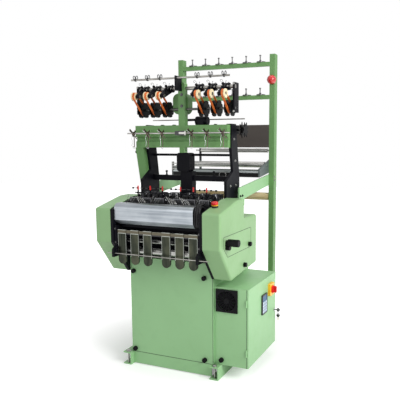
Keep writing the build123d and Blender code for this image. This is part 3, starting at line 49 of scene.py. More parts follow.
class Signal:
    """One output socket of a finish, with maths written as Python operators."""

    def __init__(self, finish, socket):
        self.finish = finish
        self.socket = socket

    def maths(self, operation, *values):
        return self.finish.node("ShaderNodeMath", {"operation": operation}, dict(enumerate(values)))

    def __add__(self, other):
        return self.maths("ADD", self, other)

    def __radd__(self, other):
        return self.maths("ADD", other, self)

    def __sub__(self, other):
        return self.maths("SUBTRACT", self, other)

    def __rsub__(self, other):
        return self.maths("SUBTRACT", other, self)

    def __mul__(self, other):
        return self.maths("MULTIPLY", self, other)

    def __rmul__(self, other):
        return self.maths("MULTIPLY", other, self)

    def __gt__(self, other):
        return self.maths("GREATER_THAN", self, other)

    def __lt__(self, other):
        return self.maths("LESS_THAN", self, other)

    def __abs__(self):
        return self.maths("ABSOLUTE", self)

    def sine(self):
        return self.maths("SINE", self)


class Finish:
    """A procedural material on Object coordinates, made node by node."""

    def __init__(self, name):
        self.material = bpy.data.materials.new(name)
        self.material.use_nodes = True
        self.tree = self.material.node_tree
        self.shader = self.tree.nodes["Principled BSDF"]
        self.place = self.node("ShaderNodeTexCoord", {}, {}, "Object")

    def node(self, kind, settings, sockets, output=0):
        made = self.tree.nodes.new(kind)
        for key, value in settings.items():
            if key == "stops":
                ramp = made.color_ramp.elements
                while len(ramp) < len(value):
                    ramp.new(0.5)
                for stop, (at, colour) in zip(ramp, value):
                    stop.position = at
                    stop.color = colour
            else:
                setattr(made, key, value)
        for key, value in sockets.items():
            self.feed(made.inputs[key], value)
        return Signal(self, made.outputs[output])

    def feed(self, socket, value):
        if isinstance(value, Signal):
            self.tree.links.new(value.socket, socket)
        else:
            socket.default_value = value

    def set(self, **sockets):
        for key, value in sockets.items():
            self.feed(self.shader.inputs[key.replace("_", " ")], value)
        return self

    def noise(self, scale, stretch=(1, 1, 1), detail=4.0, rough=0.5):
        placed = self.node("ShaderNodeMapping", {}, {"Vector": self.place, "Scale": stretch})
        sockets = {"Vector": placed, "Scale": scale, "Detail": detail, "Roughness": rough}
        return self.node("ShaderNodeTexNoise", {}, sockets)

    def axis(self, name):
        return self.node("ShaderNodeSeparateXYZ", {}, {0: self.place}, name)

    def within(self, name, low, high):
        """1 where a coordinate lies between two values, else 0."""
        place = self.axis(name)
        return (place > low) * (place < high)

    def near_axis(self, y, z, radius):
        """1 within a radius of the line along X through a place, else 0."""
        across = self.axis("Y") - y
        rise = self.axis("Z") - z
        return (across * across + rise * rise) < radius ** 2

    def span(self, value, low, high, to_low=0.0, to_high=1.0):
        sockets = {"Value": value, "From Min": low, "From Max": high, "To Min": to_low, "To Max": to_high}
        return self.node("ShaderNodeMapRange", {}, sockets)

    def blend(self, factor, first, second):
        sockets = {"Factor": factor, 6: first, 7: second}
        return self.node("ShaderNodeMix", {"data_type": "RGBA"}, sockets, 2)

    def bump(self, height, strength, distance):
        sockets = {"Height": height, "Strength": strength, "Distance": distance}
        return self.node("ShaderNodeBump", {}, sockets)


def shade(red, green, blue):
    """A screen colour, 0 to 255, as the linear colour that a shader takes."""
    def linear(value):
        value = value / 255
        return value / 12.92 if value <= 0.04045 else ((value + 0.055) / 1.055) ** 2.4
    return (linear(red), linear(green), linear(blue), 1.0)


# Places and directions that repeat, in metres

HEADS = (-0.249, -0.157, -0.065, 0.065, 0.157, 0.249)
FEEDERS = (-0.318, -0.226, -0.134, 0.134, 0.226, 0.318)
MAST_X = -0.013
FAR = 1.0  # clear of the machine's front and sides
UP = (0, 0, 1)
DOWN = (0, 0, -1)
TO_FRONT = (0, -1, 0)
TO_REAR = (0, 1, 0)
TO_LEFT = (-1, 0, 0)
TO_RIGHT = (1, 0, 0)


# Finishes

def paint(name, colour, worn, roughness, peel, gloss=0.5):
    """Sprayed paint: slow cloudy tone, fine orange peel and a few dull, soiled patches."""
    finish = Finish(name)
    cloud = finish.noise(2.2, detail=3.0)
    grime = finish.noise(11.0, detail=6.0, rough=0.65)
    tone = finish.blend(finish.span(cloud, 0.35, 0.7), colour, worn)
    dirt = finish.span(grime, 0.56, 0.8) * 0.3
    soil = tuple(part * 0.74 for part in colour[:3]) + (1.0,)
    rough = roughness + finish.span(grime, 0.3, 0.75, -0.05, 0.10)
    skin = finish.bump(finish.noise(420.0, detail=2.0), peel, 0.0004)
    return finish.set(Base_Color=finish.blend(dirt, tone, soil), Roughness=rough, Normal=skin,
                      Specular_IOR_Level=gloss)


def metal(name, colour, dark, roughness, stretch, scale=90.0):
    """Bare metal with fine drawn or ground lines and faint cloudy stains."""
    finish = Finish(name)
    lines = finish.noise(scale, stretch, detail=5.0, rough=0.6)
    stain = finish.noise(7.0, detail=4.0)
    mix = finish.span(lines, 0.3, 0.7) * 0.6 + finish.span(stain, 0.35, 0.7) * 0.4
    rough = roughness + finish.span(lines, 0.3, 0.7, -0.06, 0.08)
    grain = finish.bump(lines, 0.12, 0.0003)
    tone = finish.blend(mix, dark, colour)
    return finish.set(Base_Color=tone, Roughness=rough, Normal=grain, Metallic=1.0)


def plastic(name, colour, second, roughness, grain, gloss=0.5):
    """Moulded plastic with a fine texture and slight change of tone."""
    finish = Finish(name)
    cloud = finish.noise(30.0, detail=4.0)
    texture = finish.noise(900.0, detail=2.0)
    rough = roughness + finish.span(cloud, 0.3, 0.7, -0.05, 0.07)
    tone = finish.blend(finish.span(cloud, 0.35, 0.68), colour, second)
    return finish.set(Base_Color=tone, Roughness=rough, Normal=finish.bump(texture, grain, 0.0003),
                      Specular_IOR_Level=gloss)


def woven_belt():
    """Orange feed belt: a twill of fine cross and edge threads, rubbed dull in places."""
    finish = Finish("orange_belt")
    along = finish.axis("Z") + finish.axis("Y")
    ribs = (along * 2600.0).sine()
    threads = (finish.axis("X") * 3600.0).sine()
    weave = ribs * threads
    rub = finish.span(finish.noise(38.0, detail=5.0), 0.4, 0.72)
    tone = finish.blend(rub, shade(232, 118, 44), shade(190, 84, 30))
    tone = finish.blend(finish.span(weave, -1.0, 1.0, 0.0, 0.3), tone, shade(128, 52, 20))
    return finish.set(Base_Color=tone, Roughness=0.55 + rub * 0.15, Normal=finish.bump(weave, 0.35, 0.0004))


def wood_grain():
    """Roller wood with long grain and fine pores along the roller."""
    finish = Finish("roller_wood")
    grain = finish.noise(26.0, (0.12, 1.0, 1.0), detail=7.0, rough=0.62)
    pores = finish.noise(260.0, (0.05, 1.0, 1.0), detail=3.0)
    stops = [(0.30, shade(158, 130, 84)), (0.52, shade(204, 186, 140)), (0.72, shade(216, 202, 160))]
    tone = finish.node("ShaderNodeValToRGB", {"stops": stops}, {0: grain})
    tone = finish.blend(finish.span(pores, 0.58, 0.75) * 0.4, tone, shade(130, 100, 62))
    skin = finish.bump(pores, 0.15, 0.0004)
    rough = 0.42 + finish.span(grain, 0.3, 0.7, -0.05, 0.08)
    return finish.set(Base_Color=tone, Roughness=rough, Normal=skin)


def lamp_lens():
    """Red lens with turned rings."""
    finish = Finish("lamp_red")
    rings = (finish.axis("Y") * 2200.0).sine()
    cloud = finish.noise(40.0)
    tone = finish.blend(finish.span(cloud, 0.3, 0.7), shade(206, 34, 28), shade(170, 16, 18))
    return finish.set(Base_Color=tone, Roughness=0.18 + cloud * 0.1, Normal=finish.bump(rings, 0.2, 0.0006),
                      Coat_Weight=0.4)


def key_finish():
    """Black key heads and a brass blade below the lower head."""
    finish = Finish("key_plastic")
    low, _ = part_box("door_key")
    blade = 0.024
    brass = finish.axis("Z") < low[2] + blade
    cloud = finish.noise(60.0)
    tone = finish.blend(brass, shade(30, 30, 32), shade(196, 152, 70))
    return finish.set(Base_Color=tone, Metallic=brass, Roughness=0.3 + cloud * 0.15)


def pad_finish():
    """Black keypad case with pale blue keys and a darker window inside its rim."""
    finish = Finish("control_pad")
    low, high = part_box("control_panel")
    rim, window_foot = 0.0085, 0.047
    key_back, key_front = 0.0014, 0.0004
    inside = finish.within("Y", low[1] + rim, high[1] - rim) * finish.within("Z", low[2] + rim, high[2] - rim)
    window = inside * (finish.axis("Z") > high[2] - window_foot)
    cloud = finish.noise(50.0)
    proud = finish.within("X", high[0] - key_back, high[0] - key_front)
    tone = finish.blend(inside, shade(14, 15, 22), shade(90, 112, 138))
    tone = finish.blend(inside * proud, tone, shade(196, 210, 224))
    tone = finish.blend(window, tone, shade(44, 84, 124))
    return finish.set(Base_Color=tone, Roughness=0.28 + cloud * 0.16, Specular_IOR_Level=0.2)


def idler_finish():
    """Cream pulleys whose stub, nut and hub are dark steel."""
    finish = Finish("idler_cream")
    low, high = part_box("idler_pulleys")
    hub = finish.near_axis((low[1] + high[1]) / 2, (low[2] + high[2]) / 2, 0.0105)
    cloud = finish.noise(30.0)
    tone = finish.blend(finish.span(cloud, 0.35, 0.68), shade(238, 222, 184), shade(224, 204, 162))
    tone = finish.blend(hub, tone, shade(96, 94, 90))
    return finish.set(Base_Color=tone, Metallic=hub, Roughness=0.4 + cloud * 0.1)


def rod_finish():
    """Ground steel rods, with black yarn rings and collars on the upper rod."""
    finish = Finish("yarn_rods")
    rod_y, rod_z, rod_radius, rings_foot = -0.3025, 1.883, 0.0066, 1.86
    ring = (1 - finish.near_axis(rod_y, rod_z, rod_radius)) * (finish.axis("Z") > rings_foot)
    lines = finish.noise(90.0, (0.2, 1, 1), detail=5.0)
    tone = finish.blend(finish.span(lines, 0.3, 0.7), (0.17, 0.165, 0.15, 1), (0.36, 0.35, 0.33, 1))
    tone = finish.blend(ring, tone, (0.02, 0.02, 0.022, 1))
    return finish.set(Base_Color=tone, Metallic=1 - ring, Roughness=0.26 + lines * 0.12)


def drum_finish():
    """Black feed drums and star wheels, with bare steel along the feed shaft's axis."""
    finish = Finish("drum_plastic")
    low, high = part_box("feed_drums")
    shaft = finish.near_axis((low[1] + high[1]) / 2, (low[2] + high[2]) / 2, 0.0085)
    cloud = finish.noise(30.0)
    tone = finish.blend(finish.span(cloud, 0.35, 0.68), shade(6, 6, 7), shade(12, 12, 13))
    tone = finish.blend(shaft, tone, (0.10, 0.10, 0.095, 1))
    rough = 0.36 + cloud * 0.14
    return finish.set(Base_Color=tone, Metallic=shaft, Roughness=rough, Specular_IOR_Level=0.09)


def tape_plate_finish():
    """Dark glossy tape plates hung below a brown bar, with painted highlights along their rims and painted
    shade behind their fronts.
    """
    finish = Finish("plate_steel")
    low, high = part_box("tape_plates")
    rail_height, rim_foot, lip, round_end = 0.021, 0.0245, 0.003, 0.05
    rim_in, rim_out, plate_half, thickness = 0.0262, 0.0278, 0.029, 0.002
    pitch = HEADS[5] - HEADS[4]
    spread = abs(finish.axis("X")) - HEADS[3]
    off = spread.maths("PINGPONG", spread, pitch / 2)
    drop = high[2] - finish.axis("Z")
    rail = drop < rail_height
    # Painted highlight: bright lines along the plates' side rims, their top rims and the top lip, where the
    # folds catch the light.
    edge = finish.span(off, rim_in, rim_out) * (finish.axis("Z") > low[2] + round_end)
    rim = edge + (drop < rim_foot) * (off < plate_half)
    rim = rim * (1 - rail) + (drop < lip)
    # Painted shade: everything behind the plates' front faces turns near black and loses its metal.
    behind = (finish.axis("Y") > low[1] + thickness) * (1 - rail)
    lines = finish.noise(160.0, (1, 1, 0.04), detail=5.0)
    cloud = finish.noise(14.0, (1, 1, 0.5), detail=3.0)
    tone = finish.blend(finish.span(lines, 0.3, 0.7), (0.018, 0.021, 0.016, 1), (0.042, 0.047, 0.035, 1))
    tone = finish.blend(finish.span(cloud, 0.45, 0.75), tone, (0.075, 0.078, 0.052, 1))
    tone = finish.blend(rail, tone, (0.10, 0.09, 0.065, 1))
    tone = finish.blend(rim, tone, (0.34, 0.36, 0.33, 1))
    tone = finish.blend(behind, tone, (0.008, 0.008, 0.009, 1))
    return finish.set(Base_Color=tone, Metallic=1 - behind, Roughness=0.24 + lines * 0.12)


def rail_finish():
    """Grey rails, a black cross bar with a bright strip along its top and a black roller stay."""
    finish = Finish("roller_rails")
    low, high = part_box("roller_rails")
    bar_depth, rail_thickness, strip_foot, stay_foot = 0.06, 0.0125, 0.031, 0.113
    rise = finish.axis("Z") - low[2]
    bar = (finish.axis("Y") < low[1] + bar_depth) * (abs(finish.axis("X")) < high[0] - rail_thickness)
    strip = bar * (rise > strip_foot)
    lines = finish.noise(90.0, (0.2, 1, 1), detail=5.0)
    tone = finish.blend(finish.span(lines, 0.3, 0.7), shade(78, 86, 86), shade(92, 100, 99))
    tone = finish.blend(bar + (rise > stay_foot), tone, shade(13, 14, 15))
    tone = finish.blend(strip, tone, (0.34, 0.37, 0.37, 1))
    return finish.set(Base_Color=tone, Metallic=strip, Roughness=0.34 + lines * 0.1, Specular_IOR_Level=0.2)


def button_base_finish():
    """Yellow collar of the stop button over a black lower half."""
    finish = Finish("stop_button_base")
    low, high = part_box("stop_button_base")
    black = finish.axis("Z") < low[2] + (high[2] - low[2]) * 0.55
    cloud = finish.noise(40.0)
    tone = finish.blend(black, shade(250, 190, 40), shade(20, 20, 22))
    return finish.set(Base_Color=tone, Roughness=0.34 + cloud * 0.1)


def feeler_bar_finish():
    """Steel feeler bar with a black clamp that has a bare strip along its right half."""
    finish = Finish("feeler_bar")
    low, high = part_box("feeler_bar")
    clamp_left, clamp_right, strip_left, strip_half = -0.04, 0.035, -0.006, 0.006
    rise = abs(finish.axis("Z") - (low[2] + high[2]) / 2)
    painted = (finish.axis("X") < strip_left) + (rise > strip_half)
    black = finish.within("X", clamp_left, clamp_right) * painted > 0.5
    lines = finish.noise(90.0, (0.2, 1, 1), detail=5.0)
    tone = finish.blend(finish.span(lines, 0.3, 0.7), (0.26, 0.25, 0.24, 1), (0.5, 0.49, 0.47, 1))
    tone = finish.blend(black, tone, (0.018, 0.018, 0.02, 1))
    return finish.set(Base_Color=tone, Metallic=1 - black, Roughness=0.28 + lines * 0.12)


# Scale of a metal's lines along X, Y and Z: a small one draws them out
EVEN, LENGTHWISE, DRAWN, GROUND = (1, 1, 1), (0.2, 1, 1), (1, 1, 0.2), (1, 1, 0.1)
FINISHES = {
    "green_paint": paint("green_paint", shade(147, 191, 140), shade(141, 184, 134), 0.42, 0.05, 0.35),
    "black_paint": paint("black_paint", shade(9, 9, 14), shade(15, 15, 22), 0.44, 0.12, 0.08),
    "grey_panel": paint("grey_panel", shade(80, 74, 70), shade(72, 66, 63), 0.44, 0.06, 0.3),
    "motor_grey": paint("motor_grey", shade(120, 124, 124), shade(106, 110, 110), 0.45, 0.12),
    "bolt_steel": metal("bolt_steel", (0.40, 0.40, 0.38, 1), (0.20, 0.20, 0.19, 1), 0.38, EVEN),
    "polished_steel": metal("polished_steel", (0.42, 0.42, 0.40, 1), (0.24, 0.24, 0.23, 1), 0.28, LENGTHWISE),
    "heald_steel": metal("heald_steel", (0.13, 0.13, 0.14, 1), (0.05, 0.05, 0.055, 1), 0.38, GROUND),
    "reed_steel": metal("reed_steel", (0.20, 0.20, 0.21, 1), (0.09, 0.09, 0.10, 1), 0.34, GROUND),
    "feeler_steel": metal("feeler_steel", (0.20, 0.155, 0.125, 1), (0.055, 0.045, 0.04, 1), 0.34, DRAWN),
    "cover_steel": metal("cover_steel", (0.46, 0.49, 0.52, 1), (0.20, 0.225, 0.25, 1), 0.34,
                         (0.025, 1, 1), 85.0),
    "plate_steel": tape_plate_finish(),
    "lock_chrome": metal("lock_chrome", (0.60, 0.60, 0.62, 1), (0.42, 0.42, 0.44, 1), 0.18, EVEN),
    "pin_steel": metal("pin_steel", (0.13, 0.13, 0.13, 1), (0.05, 0.05, 0.05, 1), 0.36, DRAWN),
    "drum_plastic": drum_finish(),
    "belt_rubber": plastic("belt_rubber", shade(30, 30, 30), shade(40, 39, 38), 0.66, 0.25),
    "cable_rubber": plastic("cable_rubber", shade(15, 15, 17), shade(24, 24, 27), 0.42, 0.15, 0.25),
    "black_plastic": plastic("black_plastic", shade(9, 9, 11), shade(15, 15, 18), 0.44, 0.12, 0.09),
    "yellow_plastic": plastic("yellow_plastic", shade(250, 190, 40), shade(238, 172, 30), 0.34, 0.05),
    "red_plastic": plastic("red_plastic", shade(214, 30, 26), shade(190, 16, 18), 0.3, 0.05),
    "orange_belt": woven_belt(),
    "roller_wood": wood_grain(),
    "lamp_red": lamp_lens(),
    "key_plastic": key_finish(),
    "cream_plastic": idler_finish(),
}
# Painted shade: the beam, mast and stand, high on the frame, take a darker green than the body.
UPPER_SHADE_GREEN = paint("upper_shade_green_paint", shade(104, 147, 89), shade(98, 140, 85), 0.44, 0.05, 0.3)
COVER_GREEN = paint("cover_green_paint", shade(140, 178, 128), shade(134, 170, 121), 0.42, 0.05, 0.35)
ROLLER_STEEL = metal("roller_steel", (0.56, 0.555, 0.535, 1), (0.30, 0.298, 0.285, 1), 0.3, LENGTHWISE)
NODE_FINISHES = {
    "control_panel": pad_finish(), "steel_rods": rod_finish(), "feeler_bar": feeler_bar_finish(),
    "front_beam": UPPER_SHADE_GREEN, "feeder_mast": UPPER_SHADE_GREEN, "rear_stand": UPPER_SHADE_GREEN,
    "side_cover_left": COVER_GREEN, "side_cover_right": COVER_GREEN, "access_hatch": COVER_GREEN,
    "steel_roller": ROLLER_STEEL, "dark_roller": ROLLER_STEEL, "roller_rails": rail_finish(),
    "stop_button_base": button_base_finish(),
}


def dress_nodes():
    """Give each CAD node its own finish, or the finish of its slot in the record."""
    slots = {part["node"]: part["material_slot"] for part in frame["record"]["subparts"]}
    for name, node in frame["nodes"].items():
        finish = NODE_FINISHES.get(name, FINISHES.get(slots[name]))
        node.data.materials.clear()
        node.data.materials.append(finish.material)


# Small pieces

def carry(name, data, slot, body):
    """Hang a finished mesh or curve on a body, in the finish of its slot."""
    piece = bpy.data.objects.new(name, data)
    bpy.context.collection.objects.link(piece)
    data.materials.append(FINISHES[slot].material)
    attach(piece, body)


def solid(name, mesh, slot):
    """Merge a mesh's doubles, turn its faces outward and hang it on the frame."""
    data = bpy.data.meshes.new(name)
    bmesh.ops.remove_doubles(mesh, verts=mesh.verts, dist=0.00002)
    bmesh.ops.recalc_face_normals(mesh, faces=mesh.faces)
    mesh.to_mesh(data)
    mesh.free()
    carry(name, data, slot, "frame")


def surface(node, start, direction):
    """The point of a CAD node that a line from start meets first."""
    mesh = frame["nodes"][node].data
    tree = BVHTree.FromPolygons([v.co for v in mesh.vertices], [p.vertices for p in mesh.polygons])
    return tree.ray_cast(Vector(start), Vector(direction))[0]


def upright(place, direction):
    """The turn and move that stand a piece made along +Z on a place, facing a direction."""
    turn = Vector(UP).rotation_difference(Vector(direction)).to_matrix().to_4x4()
    return Matrix.Translation(place) @ turn


def turned(mesh, profile, stand, steps=24):
    """A lathe piece: a profile of radius and height pairs spun round +Z, then stood in place."""
    before = set(mesh.verts)
    line = [mesh.verts.new((radius, 0, height)) for radius, height in profile]
    edges = [mesh.edges.new(pair) for pair in zip(line, line[1:])]
    bmesh.ops.spin(mesh, geom=line + edges, cent=(0, 0, 0), axis=UP, angle=2 * pi, steps=steps,
                   use_merge=True)
    made = [v for v in mesh.verts if v not in before]
    bmesh.ops.transform(mesh, matrix=stand, verts=made)


def soften(mesh, edges, offset):
    """Round edges off in two steps."""
    bmesh.ops.bevel(mesh, geom=list(edges), offset=offset, affect="EDGES", segments=2, profile=0.5,
                    material=-1)


def hex_screw(mesh, place, direction, radius):
    """A washer under a six-sided head whose top edge is rounded."""
    stand = upright(place, direction)
    washer = radius * 1.45
    profile = [(0, 0), (washer, 0), (washer, radius * 0.2), (washer * 0.9, radius * 0.3), (0, radius * 0.3)]
    turned(mesh, profile, stand)
    lift = Matrix.Translation((0, 0, radius * 0.65))
    head = bmesh.ops.create_cone(mesh, cap_ends=True, segments=6, radius1=radius, radius2=radius,
                                 depth=radius * 0.8, matrix=stand @ lift)
    faces = {face for vert in head["verts"] for face in vert.link_faces}
    facing = Vector(direction)
    top = max(faces, key=lambda face: face.calc_center_median().dot(facing))
    soften(mesh, top.edges, radius * 0.12)


def screws(name, node, starts, direction, radius, slot="bolt_steel"):
    """A set of hex screws seated on a CAD node where lines along a direction meet it."""
    mesh = bmesh.new()
    facing = -Vector(direction)
    for start in starts:
        hex_screw(mesh, surface(node, start, direction), facing, radius)
    solid(name, mesh, slot)


def wires(name, routes, radius, slot, body="frame"):
    """Round wires on smooth lines, each led by its own control points."""
    data = bpy.data.curves.new(name, "CURVE")
    data.dimensions = "3D"
    data.bevel_depth = radius
    data.bevel_resolution = 3
    data.resolution_u = 8
    data.use_fill_caps = True
    for route in routes:
        spline = data.splines.new("NURBS")
        spline.points.add(len(route) - 1)
        for point, place in zip(spline.points, route):
            point.co = (*place, 1.0)
        spline.order_u = 3
        spline.use_endpoint_u = True
    carry(name, data, slot, body)


def bars(name, spans, slot):
    """Square bars between two corners, with softened edges."""
    rounding = 0.0012
    mesh = bmesh.new()
    for low, high in spans:
        low, high = Vector(low), Vector(high)
        place = Matrix.Translation((low + high) / 2) @ Matrix.Diagonal((*(high - low), 1))
        made = bmesh.ops.create_cube(mesh, size=1.0, matrix=place)
        soften(mesh, {edge for vert in made["verts"] for edge in vert.link_edges}, rounding)
    solid(name, mesh, slot)


def fasteners():
    """Screws on the mast, end plates, posts, braces, stand, fan grille and cheeks."""
    places = [(MAST_X, -FAR, z) for z in (1.785, 1.712)]
    screws("mast_screws", "feeder_mast", places, TO_REAR, 0.0075, "pin_steel")
    places = [(x, -FAR, z) for x in (-0.351, 0.351) for z in (1.672, 1.842)]
    screws("end_plate_screws", "feeder_brackets", places, TO_REAR, 0.005)
    for side, x, inward in (("left", -FAR, TO_RIGHT), ("right", FAR, TO_LEFT)):
        places = [(x, y, z) for y, z in ((-0.15, 1.50), (-0.13, 1.36), (-0.21, 1.20), (-0.12, 1.20))]
        screws("post_screws_" + side, "support_frame", places, inward, 0.006)
        places = [(x, y, z) for y in (-0.135, -0.10) for z in (1.09, 1.13)]
        screws("brace_screws_" + side, "post_braces", places, inward, 0.006, "black_plastic")
        places = [(x, 0.44, z) for z in (1.20, 1.225)]
        screws("stand_screws_" + side, "rear_stand", places, inward, 0.006)
    low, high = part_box("fan_grille")
    inset = 0.009
    columns = (low[0] + inset, high[0] - inset)
    rows = (low[2] + inset, high[2] - inset)
    places = [(x, -FAR, z) for x in columns for z in rows]
    screws("fan_screws", "fan_grille", places, TO_REAR, 0.0035, "black_plastic")
    places = [(x, -FAR, z) for x in (-0.2925, 0.2925) for z in (0.945, 0.86)]
    screws("cheek_screws", "weaving_frame", places, TO_REAR, 0.0045, "pin_steel")


def feeder_trim():
    """Clamp screws, ball knobs and bent yarn hooks on the feeder brackets."""
    clamps = bmesh.new()
    knobs = bmesh.new()
    hooks = []
    ball = [(0, -0.002), (0.004, -0.002), (0.004, 0.004), (0.008, 0.006), (0.0098, 0.011), (0.0085, 0.017),
            (0.005, 0.020), (0, 0.021)]
    to_pin, to_clamp, screw_radius = 0.024, 0.017, 0.0045
    y, z = -0.2665, 1.8275
    for x in FEEDERS:
        pin = x - to_pin if x > 0 else x + to_pin
        clamp = pin + to_clamp
        hex_screw(clamps, Vector((clamp, -0.2125, 1.8489)), UP, screw_radius)
        hex_screw(clamps, Vector((clamp, -0.2355, 1.826)), TO_FRONT, screw_radius)
        turned(knobs, ball, Matrix.Translation((pin, y, z)), 20)
        hooks.append([(pin, y, z + 0.019), (pin, y, z + 0.026), (pin - 0.003, y - 0.004, z + 0.036),
                      (pin - 0.012, y - 0.012, z + 0.036), (pin - 0.014, y - 0.014, z + 0.026),
                      (pin - 0.006, y - 0.008, z + 0.023)])
        hooks.append([(pin + 0.004, y + 0.03, z + 0.012), (pin + 0.006, y + 0.03, z + 0.026),
                      (pin + 0.011, y + 0.022, z + 0.034), (pin + 0.018, y + 0.014, z + 0.028)])
    solid("clamp_screws", clamps, "bolt_steel")
    solid("feeder_knobs", knobs, "black_plastic")
    wires("yarn_hooks", hooks, 0.0012, "pin_steel")


def feeler_trim():
    """A brown lever, a bright finger, a ring and a bent chain wire on each weft feeler."""
    y, hub = -0.2825, 1.538
    ring, ring_drop = 0.007, 0.004
    for number in range(1, 7):
        low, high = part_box("weft_feeler_%d" % number)
        x = (low[0] + high[0]) / 2
        z = low[2]
        body = "feeler_%d" % number
        lever = [(x + 0.002, y - 0.013, hub + 0.004), (x + 0.018, y - 0.016, hub - 0.014),
                 (x + 0.036, y - 0.018, hub - 0.035)]
        wires("feeler_lever_%d" % number, [lever], 0.0030, "feeler_steel", body)
        finger = [(x - 0.002, y - 0.013, hub), (x - 0.014, y - 0.016, hub + 0.012),
                  (x - 0.026, y - 0.018, hub + 0.018)]
        turns = [step * pi / 4 for step in range(9)]
        loop = [(x + ring * cos(turn), y, z - ring_drop + ring * sin(turn)) for turn in turns]
        tail = [(x - 0.005, y - 0.002, z + 0.084), (x - 0.016, y - 0.004, z + 0.06),
                (x - 0.004, y - 0.006, z + 0.03), (x - 0.012, y - 0.006, z + 0.008)]
        wires("feeler_wire_%d" % number, [finger, loop, tail], 0.0014, "lock_chrome", body)


def head_seat(x, y):
    """The top of the heads or, between them, of the bed at a place."""
    hits = [surface(node, (x, y, 1.2), DOWN) for node in ("weaving_heads", "weaving_frame")]
    return max((hit for hit in hits if hit is not None), key=lambda hit: hit.z)


def head_trim():
    """Yarn wires, tension knobs, levers and guide fingers at the weaving heads.

    Gives the places on the levers that carry guide eyes.
    """
    strands, levers, fingers, perches = [], [], [], []
    knobs = bmesh.new()
    knob = [(0, 0), (0.0068, 0), (0.0068, 0.004), (0.0045, 0.005), (0.0045, 0.012), (0.0075, 0.014),
            (0.0075, 0.019), (0.0060, 0.0205), (0, 0.0205)]
    wire_y, knob_y, lever_y, shelf = -0.505, -0.508, -0.366, 1.084
    for x, side in zip(HEADS, (1, -1, 1, -1, -1, 1)):
        lean = 0.045 * side
        for index in range(4):
            foot = x - lean / 2 - 0.024 + 0.016 * index
            seat = head_seat(foot, wire_y)
            strands.append([(foot, wire_y, seat.z - 0.001), (foot + lean * 0.35, wire_y - 0.004, 1.108),
                            (foot + lean, wire_y - 0.008, 1.148 - 0.005 * index)])
        for offset in (-0.027, 0.027):
            turned(knobs, knob, Matrix.Translation((x + offset, knob_y, shelf)), 20)
        for offset, tip in ((-0.030, 0.012), (0.004, -0.016), (0.026, 0.010)):
            seat = surface("weaving_frame", (x + offset, lever_y, 1.25), DOWN)
            bend = seat + Vector((0, 0, 0.045))
            neck = Vector((seat.x + tip, seat.y - 0.004, 1.132))
            end = Vector((seat.x + tip * 2, seat.y - 0.012, 1.150))
            levers.append([seat - Vector((0, 0, 0.002)), bend, neck, end])
            perches.append(end)
            if tip < 0:
                perches.append((bend + neck) / 2)
        fingers.append(((x - 0.034, -0.5165, shelf), (x + 0.034, -0.5125, shelf + 0.006)))
    wires("head_wires", strands, 0.0013, "polished_steel")
    wires("head_levers", levers, 0.0034, "black_plastic")
    solid("tension_knobs", knobs, "black_plastic")
    bars("guide_fingers", fingers, "feeler_steel")
    return perches


def clip_trim():
    """A rod along the red clips, with beads between them."""
    _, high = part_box("red_clips")
    y, z = high[1] + 0.0016, 1.183
    left, right = HEADS[0] - 0.063, HEADS[5] + 0.058
    wires("clip_rod", [[(left, y, z), (0, y, z), (right, y, z)]], 0.0018, "pin_steel")
    beads = bmesh.new()
    bead = [(0, -0.006), (0.004, -0.0055), (0.0066, -0.002), (0.0066, 0.002), (0.004, 0.0055), (0, 0.006)]
    middles = [(first + second) / 2 for first, second in zip(HEADS, HEADS[1:])]
    for x in [HEADS[0] - 0.038] + middles + [HEADS[5] + 0.033]:
        for step in (-0.017, 0.017):
            turned(beads, bead, upright((x + step, y, z), TO_RIGHT), 16)
    solid("clip_beads", beads, "black_plastic")


def head_cables():
    """Six wavy cables behind the weaving heads, from side plate to side plate."""
    cables = []
    level, reach = 1.090, 0.301
    for number in range(6):
        depth = -0.380 + 0.0065 * number
        route = [(-reach, depth, level)]
        for step in range(15):
            x = -0.28 + 0.04 * step
            sway = 0.003 * sin(step * 1.7 + number * 2.3)
            arch = 0.009 * number * (1 - (x / 0.30) ** 2)
            wave = 0.009 * sin(step * 2.9 + number * 1.1)
            route.append((x, depth + sway, level + arch + wave))
        cables.append(route + [(reach, depth, level)])
    wires("head_cables", cables, 0.0032, "cable_rubber")


def guide_eyes(perches):
    """A bent bright wire on each perch, each at its own angle."""
    eyes = []
    for number, perch in enumerate(perches):
        turn = number * 2.4
        arm = Vector((cos(turn), 0.3 * sin(turn * 2.0), sin(turn))) * 0.013
        eyes.append([perch - arm, perch + Vector((0.003, -0.004, 0)), perch + arm])
    wires("guide_eyes", eyes, 0.0011, "lock_chrome")


def outer_cables():
    """Four cables over the bundle beside the breast cover, from the heads or the bed to the apron."""
    low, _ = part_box("cable_bundle")
    pitch, front, apron = 0.008, -0.606, -0.5515
    cables = []
    for number in range(4):
        x = low[0] + pitch + pitch * number
        shift = 0.004 * (number % 2)
        foot = head_seat(x - 0.03, -0.500)
        cables.append([foot - Vector((0, 0, 0.001)), (x - 0.012, -0.512, 1.112 + shift),
                       (x, -0.545, 1.114 + shift), (x, -0.590, 1.110), (x + shift, front, 1.070),
                       (x + shift, front, 1.020), (x, front + 0.002, 0.974), (x, apron, 0.972)])
    wires("outer_cables", cables, 0.0042, "cable_rubber")


